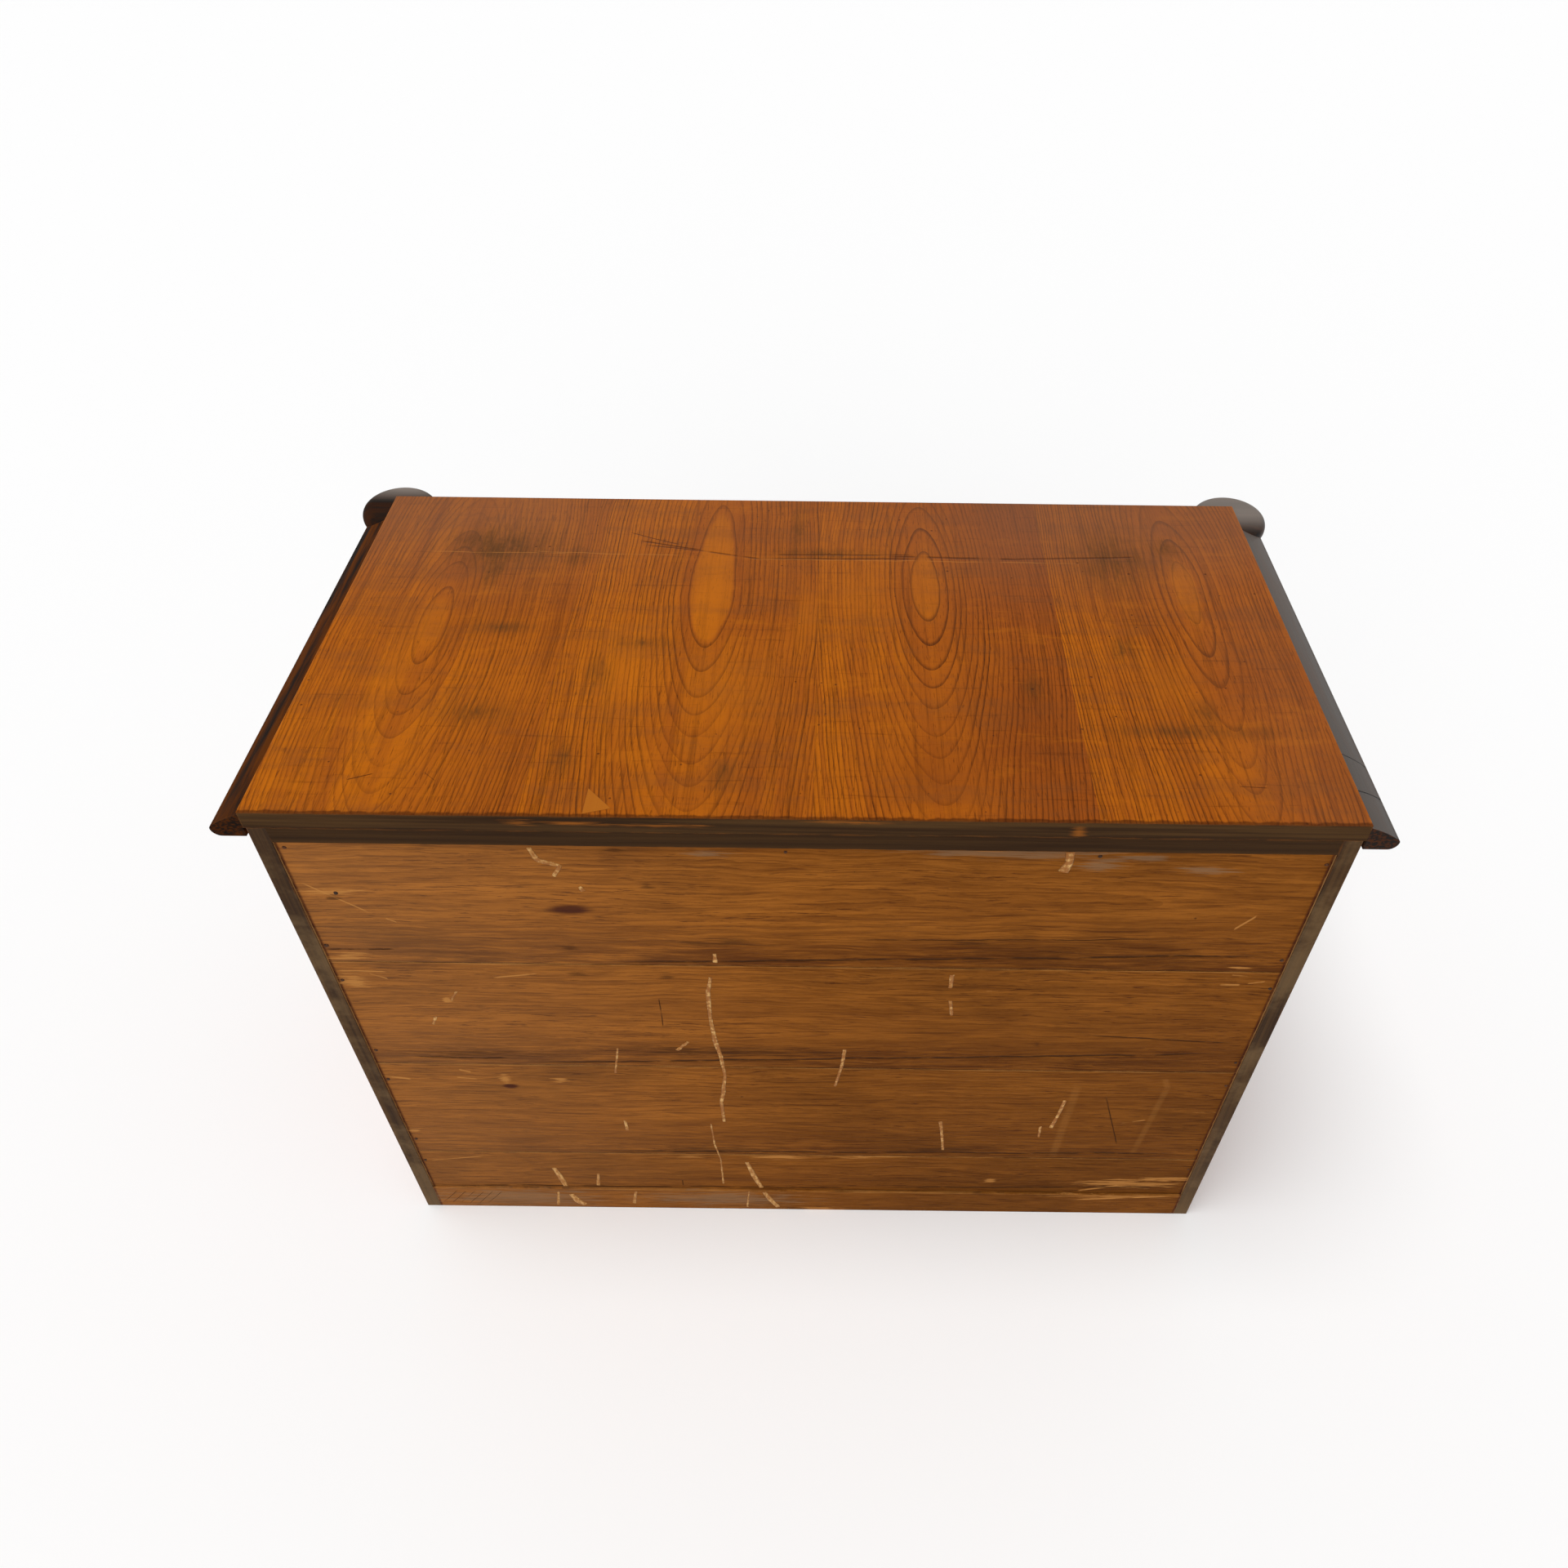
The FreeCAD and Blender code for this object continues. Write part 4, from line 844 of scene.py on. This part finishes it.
def veneer_top():
    material, shader, place = new_finish("top_veneer_shellac", Specular_IOR_Level=0.025)
    veneer_grain, across_grain = grain(place, "yxz"), grain(place, "xyz")
    along, across, _ = split(veneer_grain)
    line, tone, eye, leaf_side = 0.0, 0.0, 0.0, 0.0
    for number, (shading, strength, *sizes) in enumerate(LEAVES):
        rings = use_group(crown_rings, Grain=veneer_grain, Line_Width=0.002, Sway=0.022,
                          Seed=11.0 * number + 3.0, **dict(zip(LEAF_SIZES, sizes)))
        past = exceeds(across, LEAF_EDGES[number])
        shaded = times(ease(across, LEAF_EDGES[number + 1], LEAF_EDGES[number]), shading)
        leaf_side = choose(past, leaf_side, shaded)
        line = choose(past, line, times(rings["Line"], strength))
        tone = choose(past, tone, rings["Tone"])
        eye = choose(past, eye, rings["Eye"])
    zones = clouds(veneer_grain, (3.2, 2.2, 0), 5.0, 3.0)
    forward = ease(along, 0.03, -0.25)
    rightward = ease(across, 0.5, -0.5)
    aged = linear(zones, 0.8, linear(leaf_side, 0.3, times(rightward, 0.2)))
    colour, streak = veneer_colour(veneer_grain, line, tone, 1.0, ease(aged, 0.3, 0.85))
    colour = mark(colour, veneer_grain, TOP_REDS, VENEER_DEEP, 0.4, ragged=0.6, soft=1.2)
    ripple = clouds(veneer_grain, (24, 7, 0), 8.0, 6.0, 0.68)
    crazed = cloud_mask(veneer_grain, (150, 9, 0), 14.0, 0.56, 0.68, 5.0, 0.68)
    # Painted reflection: the front of the top is veiled grey-brown, less so near the middle, and the -x edge
    # faintly.
    central = ease(distance(minus(across, 0.05)), 0.34, 0.14)
    far_right = ease(across, -0.4, -0.55)
    painted_glare = larger(times(forward, linear(central, -0.3, 0.5)), times(far_right, 0.2))
    colour = coat(colour, (VENEER_GLOW, eye, 0.3), (VENEER_BROWN, ease(ripple, 0.46, 0.64), 0.28),
                  (VENEER_GLOW, ease(ripple, 0.46, 0.34), 0.2), (VENEER_LINE, crazed, 0.3),
                  (VENEER_GLARE, painted_glare))
    colour = mark(colour, veneer_grain, TOP_GLOWS, VENEER_GLOW, 0.34, ragged=0.8, soft=1.3)
    mottled = cloud_mask(veneer_grain, (30, 60, 0), 12.0, 0.38, 0.62, 6.0, 0.7)
    smoky = linear(mottled, 0.55, 0.4)
    colour = mark(colour, veneer_grain, TOP_SMUDGES, VENEER_SMOKE, smoky, ragged=1.8, soft=1.5)
    pits = use_group(specks, Grain=place, Per_Metre=44, Size=0.075, Share=0.7)["Mask"]
    sunk = larger(pits, cracks(across_grain, CREASE, 0.006, 2.0))
    scratch = cracks(across_grain, SCRATCH, 0.01, 6.0)
    nicks = cracks(across_grain, NICKS, 0.001, 9.0)
    rim = use_group(edge_wear, Grain=veneer_grain, Reach=0.003, Seed=3.0)["Mask"]
    outer = larger(ease(distance(across), 0.552, LEAF_EDGES[-1]), ease(along, 0.308, 0.312))
    ragged = linear(clouds(place, (55, 55, 0), 4.0, 5.0, 0.65), 0.012, along)
    colour = coat(colour, (VENEER_LINE, sunk, 0.65), (VENEER_SCRAPED, scratch, 0.4),
                  (VENEER_LINE, nicks, 0.8), (VENEER_SCRAPED, rim, outer, 0.35),
                  (VENEER_LINE, ease(ragged, 0.3165, 0.3195), 0.7))
    surface(shader, colour, linear(zones, 0.2, 0.28), minus(times(streak, 0.4), sunk), depth=0.0003)
    return material


dress(veneer_top(), "top_veneer")

PATCH_RISE = 0.0003
PATCH_CORNERS = [(219, 276), (192.5, 304), (220, 312)]
patch_mesh = bmesh.new()
patch_top = cad_box[1].z
patch_corners = [patch_mesh.verts.new((x, y, patch_top)) for x, y in map(metres, PATCH_CORNERS)]
patch_face = patch_mesh.faces.new(patch_corners)
raised = bmesh.ops.extrude_face_region(patch_mesh, geom=[patch_face])
upper_corners = [corner for corner in raised["geom"] if isinstance(corner, bmesh.types.BMVert)]
bmesh.ops.translate(patch_mesh, vec=(0, 0, PATCH_RISE), verts=upper_corners)
bmesh.ops.recalc_face_normals(patch_mesh, faces=patch_mesh.faces)
patch_finish, patch_shader, patch_place = new_finish("patch_walnut", Specular_IOR_Level=0.05)
patch_streak = use_group(fibre, Grain=grain(patch_place, "yxz"), Seed=9.0)["Streak"]
patch_colour = tint(srgb(176, 104, 26), VENEER_RUSSET, patch_streak, 0.5)
patch_rough = linear(patch_streak, 0.2, 0.3)
surface(patch_shader, patch_colour, patch_rough, patch_streak, depth=0.0002)
veneer_patch = mesh_piece("veneer_patch", patch_mesh, patch_finish)
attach(veneer_patch, "case")


# Ebonised wood: mouldings, ears, columns, knobs and plinth of close-grained wood, stained black and polished.
# It is rubbed brown on the arrises, with brown end grain where the mouldings were sawn off at the back.
EBONY_BLACK = srgb(26, 21, 18)
EBONY_BROWN = srgb(70, 36, 14)
EBONY_RUBBED = srgb(100, 60, 32)
EBONY_SHEEN = srgb(138, 128, 120)


def ebonised(name, order, seed, brown=0.6, painted_sheen=0.0, clear_by=1.0, gloss=0.3, dull=0.0, thinned=EBONY_BROWN,
             splits=()):
    """Black polish, brown where it has thinned, with a painted grey sheen on upper faces in front of y =
    clear_by.
    """
    material, shader, place = new_finish(name, Specular_IOR_Level=gloss)
    along_piece = grain(place, order)
    brushed = clouds(along_piece, (6, 70, 70), seed, 5.0, 0.6)
    fine = use_group(fibre, Grain=along_piece, Seed=seed)
    worn = use_group(edge_wear, Grain=along_piece, Reach=0.004, Seed=seed)["Mask"]
    rubs = cloud_mask(along_piece, (9, 40, 40), seed + 2.0, 0.64, 0.74, 6.0, 0.68)
    upward = split(add_node("ShaderNodeNewGeometry")["Normal"])[2]
    backward = split(place)[1]
    ahead = ease(backward, clear_by, clear_by - 0.05)
    sheen_mask = times(ease(upward, 0.35, 1.0), linear(brushed, 0.5, 0.7), ahead, painted_sheen)
    sawn = ease(backward, back_y - 0.0008, back_y - 0.0002)
    end_grain = tint(EBONY_BLACK, EBONY_BROWN, cloud_mask(place, (260, 20, 420), seed, 0.45, 0.6, 4.0))
    gaping = cracks(grain(place, "xyz"), splits, 0.003, seed)
    colour = coat(EBONY_BLACK, (thinned, ease(brushed, 0.36, 0.7), brown),
                  (EBONY_RUBBED, larger(worn, rubs), 0.6), (EBONY_SHEEN, sheen_mask), (end_grain, sawn, 0.8),
                  (EBONY_BLACK, gaping))
    polish = linear(brushed, 0.3, 0.2 + dull)
    relief = minus(plus(brushed, fine["Streak"]), times(gaping, 3.0))
    surface(shader, colour, linear(larger(sawn, sheen_mask), 0.3, polish), relief, depth=0.0003, arris=0.0012)
    return material


dress(ebonised("right_moulding_brown", "yxz", 3.0, brown=1.5, gloss=0.02, dull=0.45,
               thinned=srgb(86, 44, 12)), "right_top_moulding")
# The left moulding and both ears take a painted grey sheen on their upper faces.
dress(ebonised("left_moulding_sheen", "yxz", 13.0, brown=0.4, painted_sheen=0.32, gloss=0.08,
               splits=[(-555, 205, -600, 212, 1.2), (-555, 262, -600, 258, 1.4)]), "left_top_moulding")
dress(ebonised("front_moulding_black", "xyz", 5.0), "front_top_moulding", "plinth_front")
dress(ebonised("right_ear_black", "xyz", 15.0, painted_sheen=1.0, clear_by=-0.262, gloss=0.02, dull=0.4), "right_ear")
dress(ebonised("left_ear_sheen", "xyz", 17.0, painted_sheen=0.72, clear_by=-0.215, gloss=0.06), "left_ear")
dress(ebonised("turned_black", "zxy", 8.0), "left_column", "right_column", "left_plinth_block",
      "right_plinth_block")


# Front rails and posts: pine faced with walnut veneer, the grain running up and down through the whole front.
# The rails are tenoned into the posts and the posts tongued into the sides; the drawers close between them.
FRONT_FACE = -0.2727
LEAF_WIDTH = 0.252
SIDE_SHIFT = 0.35
FRONT_SEED = 61.0


def front_walnut(name, seed, core_order):
    """Veneer on the front face in four mirrored leaves and on the outer side, bare pine behind it."""
    material, shader, place = new_finish(name, Specular_IOR_Level=0.14)
    x, y, z = split(place)
    sideways = exceeds(distance(x), OUTER_FACE)
    across = choose(sideways, x, plus(y, SIDE_SHIFT))
    upright = bookmatch(bookmatch(join(z, across, 0.0), 0.0), LEAF_WIDTH)
    rings = use_group(crown_rings, Grain=upright, Core_Along=0.36, Core_Across=0.12, Taper_Front=0.09,
                      Taper_Back=0.08, Ring_Width=0.0047, Line_Width=0.0021, Sway=0.024, Heart=PLAIN_HEART,
                      Seed=FRONT_SEED)
    aged = cloud_mask(upright, (2.4, 3.4, 0), FRONT_SEED, 0.25, 0.6, 3.0)
    veneer, streak = veneer_colour(upright, rings["Line"], rings["Tone"], FRONT_SEED, aged)
    rubbed = use_group(edge_wear, Grain=upright, Reach=0.003, Seed=seed)["Mask"]
    marks = use_group(specks, Grain=place, Per_Metre=24, Size=0.05, Share=0.25)["Mask"]
    veneer = coat(veneer, (VENEER_BROWN, rubbed, 0.55), (VENEER_LINE, marks, 0.6))
    core, pine_relief = pine_colour(grain(place, core_order), seed, CASE_PALE, CASE_DEEP)
    faced = larger(compute("LESS_THAN", y, FRONT_FACE), sideways)
    colour = tint(core, veneer, faced)
    relief = choose(faced, pine_relief, streak)
    bare = choose(faced, 0.66, 0.3)
    surface(shader, colour, linear(aged, 0.12, bare), relief, depth=0.0003)
    return material


dress(front_walnut("rail_walnut", 81.0, "xzy"), "top_front_rail", "upper_divider", "lower_divider",
      "base_front_rail")
dress(front_walnut("post_walnut", 84.0, "zxy"), "left_post", "right_post")


# Drawers: pine boxes with lapped dovetails at the front and through dovetails at the back.
# The fronts are veneered on the face only; the sides, backs and bottoms are planed and left bare.
DRAWER_PALE = srgb(204, 166, 112)
DRAWER_DEEP = srgb(156, 110, 62)
drawer_face = front_walnut("drawer_front_walnut", 88.0, "xzy")
side_pine = bare_pine("drawer_side_pine", "yzx", 91.0, DRAWER_PALE, DRAWER_DEEP)
back_wood = bare_pine("drawer_back_pine", "xzy", 94.0, DRAWER_PALE, DRAWER_DEEP)
bottom_wood = bare_pine("drawer_bottom_pine", "xyz", 97.0, DRAWER_PALE, DRAWER_DEEP)
for number in (1, 2, 3):
    dress(drawer_face, f"drawer_{number}_front")
    dress(side_pine, f"drawer_{number}_left_side", f"drawer_{number}_right_side")
    dress(back_wood, f"drawer_{number}_back")
    dress(bottom_wood, f"drawer_{number}_bottom")

# Knobs: turned from close-grained wood and ebonised, each with a spigot glued into the drawer front.
# Years of handling have left them glossy.
dress(ebonised("knob_black", "yxz", 21.0, brown=0.35), "drawer_1_knobs", "drawer_2_knobs", "drawer_3_knobs")


# Metalwork: cast brass escutcheons, rolled steel lock cases with sliding bolts, and one forged iron key.
# The brass is tarnished brown away from the rubbed edges; the steel has a dull grey skin with rust freckles.
def old_metal(name, bright, dull, seed, metallic, scale):
    material, shader, place = new_finish(name, Metallic=metallic)
    cloudy = clouds(place, (scale, scale, scale), seed, 6.0, 0.62)
    rubbed = use_group(edge_wear, Grain=place, Reach=0.001, Seed=seed)["Mask"]
    tarnished = times(ease(cloudy, 0.36, 0.66), minus(1.0, rubbed))
    freckles = use_group(specks, Grain=place, Per_Metre=420, Size=0.2, Share=0.3)["Mask"]
    colour = coat(bright, (dull, tarnished), (dull, freckles, 0.5))
    surface(shader, colour, linear(tarnished, 0.3, 0.24), cloudy, depth=0.0002, arris=0.0004)
    return material


brass = old_metal("escutcheon_brass", srgb(196, 150, 74), srgb(112, 78, 38), 31.0, 1.0, 160)
steel = old_metal("lock_case_steel", srgb(128, 126, 124), srgb(84, 70, 60), 34.0, 0.9, 120)
bright_steel = old_metal("lock_bolt_steel", srgb(168, 166, 162), srgb(112, 104, 98), 37.0, 1.0, 200)
HALF_TURN = 3.14


def make_slotted_heads():
    """Raised screw heads, each with a saw-cut slot, turned as the screwdriver left it."""
    tree, given, put = new_shaper("slotted_heads", HEAD_SOCKETS)
    height = times(given["Head"], 0.45)
    sizes = {"Vertices": 18, "Radius Top": times(given["Head"], 0.65), "Radius Bottom": given["Head"],
             "Depth": height}
    head = add_node("GeometryNodeMeshCone", sizes)["Mesh"]
    slot_size = join(times(given["Head"], 2.4), times(given["Head"], 0.28), height)
    slot_bar = add_node("GeometryNodeMeshCube", {"Size": slot_size})["Mesh"]
    lift = join(0.0, 0.0, height)
    raised = add_node("GeometryNodeTransform", {"Geometry": slot_bar, "Translation": lift})[0]
    cut = {"Mesh 1": head, "Mesh 2": raised}
    slotted = add_node("GeometryNodeMeshBoolean", cut, operation="DIFFERENCE")["Mesh"]
    set_heads(given, put, slotted, HALF_TURN)
    return tree


slotted_heads = make_slotted_heads()
FACING_FRONT = math.pi / 2
PIN_INSET = 0.0045
SCREW_INSET = Vector((0.006, 0.0, 0.007))
for number in (1, 2, 3):
    body = f"drawer_{number}"
    dress(brass, f"{body}_escutcheon")
    dress(steel, f"{body}_lock_case")
    dress(bright_steel, f"{body}_lock_bolt")
    low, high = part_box(f"{body}_escutcheon")
    pin_heights = (high.z - PIN_INSET, low.z + PIN_INSET)
    pin_spots = spots(f"{body}_pin_spots", [(0.0, low.y + SUNK, z) for z in pin_heights])
    shape_piece(f"{body}_escutcheon_pins", pin_spots, nail_heads, body, "brass", Head=0.0012, Corners=14,
                Facing=FACING_FRONT, Seed=number, Metal=brass)
    low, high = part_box(f"{body}_lock_case")
    low, high = low + SCREW_INSET, high - SCREW_INSET
    corners = [(x, high.y - SUNK, z) for x in (low.x, high.x) for z in (low.z, high.z)]
    screw_spots = spots(f"{body}_screw_spots", corners)
    shape_piece(f"{body}_lock_screws", screw_spots, slotted_heads, body, "lock_steel", Head=0.0034,
                Facing=FACING_BACK, Seed=number, Metal=bright_steel)
dress(old_metal("key_dark_iron", srgb(122, 116, 110), srgb(52, 44, 40), 39.0, 0.9, 220), "drawer_key")

# Studio: a plain white paper floor with soft light from overhead and a weaker fill from behind the camera.
# The white sky shows brighter than it lights, so that the paper stays white around a softly lit chest.
FLOOR_REACH = 40.0
floor_z = cad_box[0].z
SKY_SEEN = 1.0
SKY_LIGHT = 0.36
LAMPS = (("overhead_light", (0.2, 0.1, 1.0), 1.8, 32), ("fill_light", (0.15, 1.0, 0.45), 0.9, 60))
floor_mesh = bpy.data.meshes.new("studio_floor")
floor_corners = [(x * FLOOR_REACH, y * FLOOR_REACH, floor_z) for x, y in ((-1, -1), (1, -1), (1, 1), (-1, 1))]
floor_mesh.from_pydata(floor_corners, [], [(0, 1, 2, 3)])
floor = new_object("studio_floor", floor_mesh)
paper = new_finish("floor_paper", Base_Color=srgb(250, 250, 250), Roughness=0.9, Specular_IOR_Level=0.0)[0]
floor_mesh.materials.append(paper)
world = bpy.data.worlds.new("studio")
world.use_nodes = True
Bench.tree = world.node_tree
background = world.node_tree.nodes["Background"].inputs
background["Color"].default_value = (1.0, 1.0, 1.0, 1.0)
rays = add_node("ShaderNodeLightPath")
seen = larger(larger(rays["Is Camera Ray"], rays["Is Glossy Ray"]), rays["Is Transmission Ray"])
link(choose(seen, SKY_LIGHT, SKY_SEEN), background["Strength"])
bpy.context.scene.world = world
for lamp_name, towards, strength, spread in LAMPS:
    lamp = new_object(lamp_name, bpy.data.lights.new(lamp_name, "SUN"))
    lamp.data.energy = strength
    lamp.data.angle = math.radians(spread)
    lamp.rotation_euler = Vector(towards).to_track_quat("Z", "Y").to_euler()

# Camera at the photograph's place: behind the chest and above it, looking down on the top and the back.
# Its place, turn and lens were worked out from the corners of the top and of the back.
CAMERA_PLACE = Vector((-0.0214, 1.1261, 1.6666))
LOOK_DOWN = math.radians(44.33)
HEADING = math.radians(180 - 0.11)
ROLL = math.radians(0.76)
camera = new_object("camera", bpy.data.cameras.new("camera"))
camera.data.lens = 27.24
camera.data.sensor_width = 36.0
camera.data.shift_x = -0.0285
turned = (Matrix.Rotation(HEADING, 4, "Z") @ Matrix.Rotation(math.pi / 2 - LOOK_DOWN, 4, "X")
          @ Matrix.Rotation(ROLL, 4, "Z"))
camera.matrix_world = Matrix.Translation(CAMERA_PLACE) @ turned
bpy.context.scene.camera = camera

bpy.context.scene.view_settings.view_transform = "Standard"
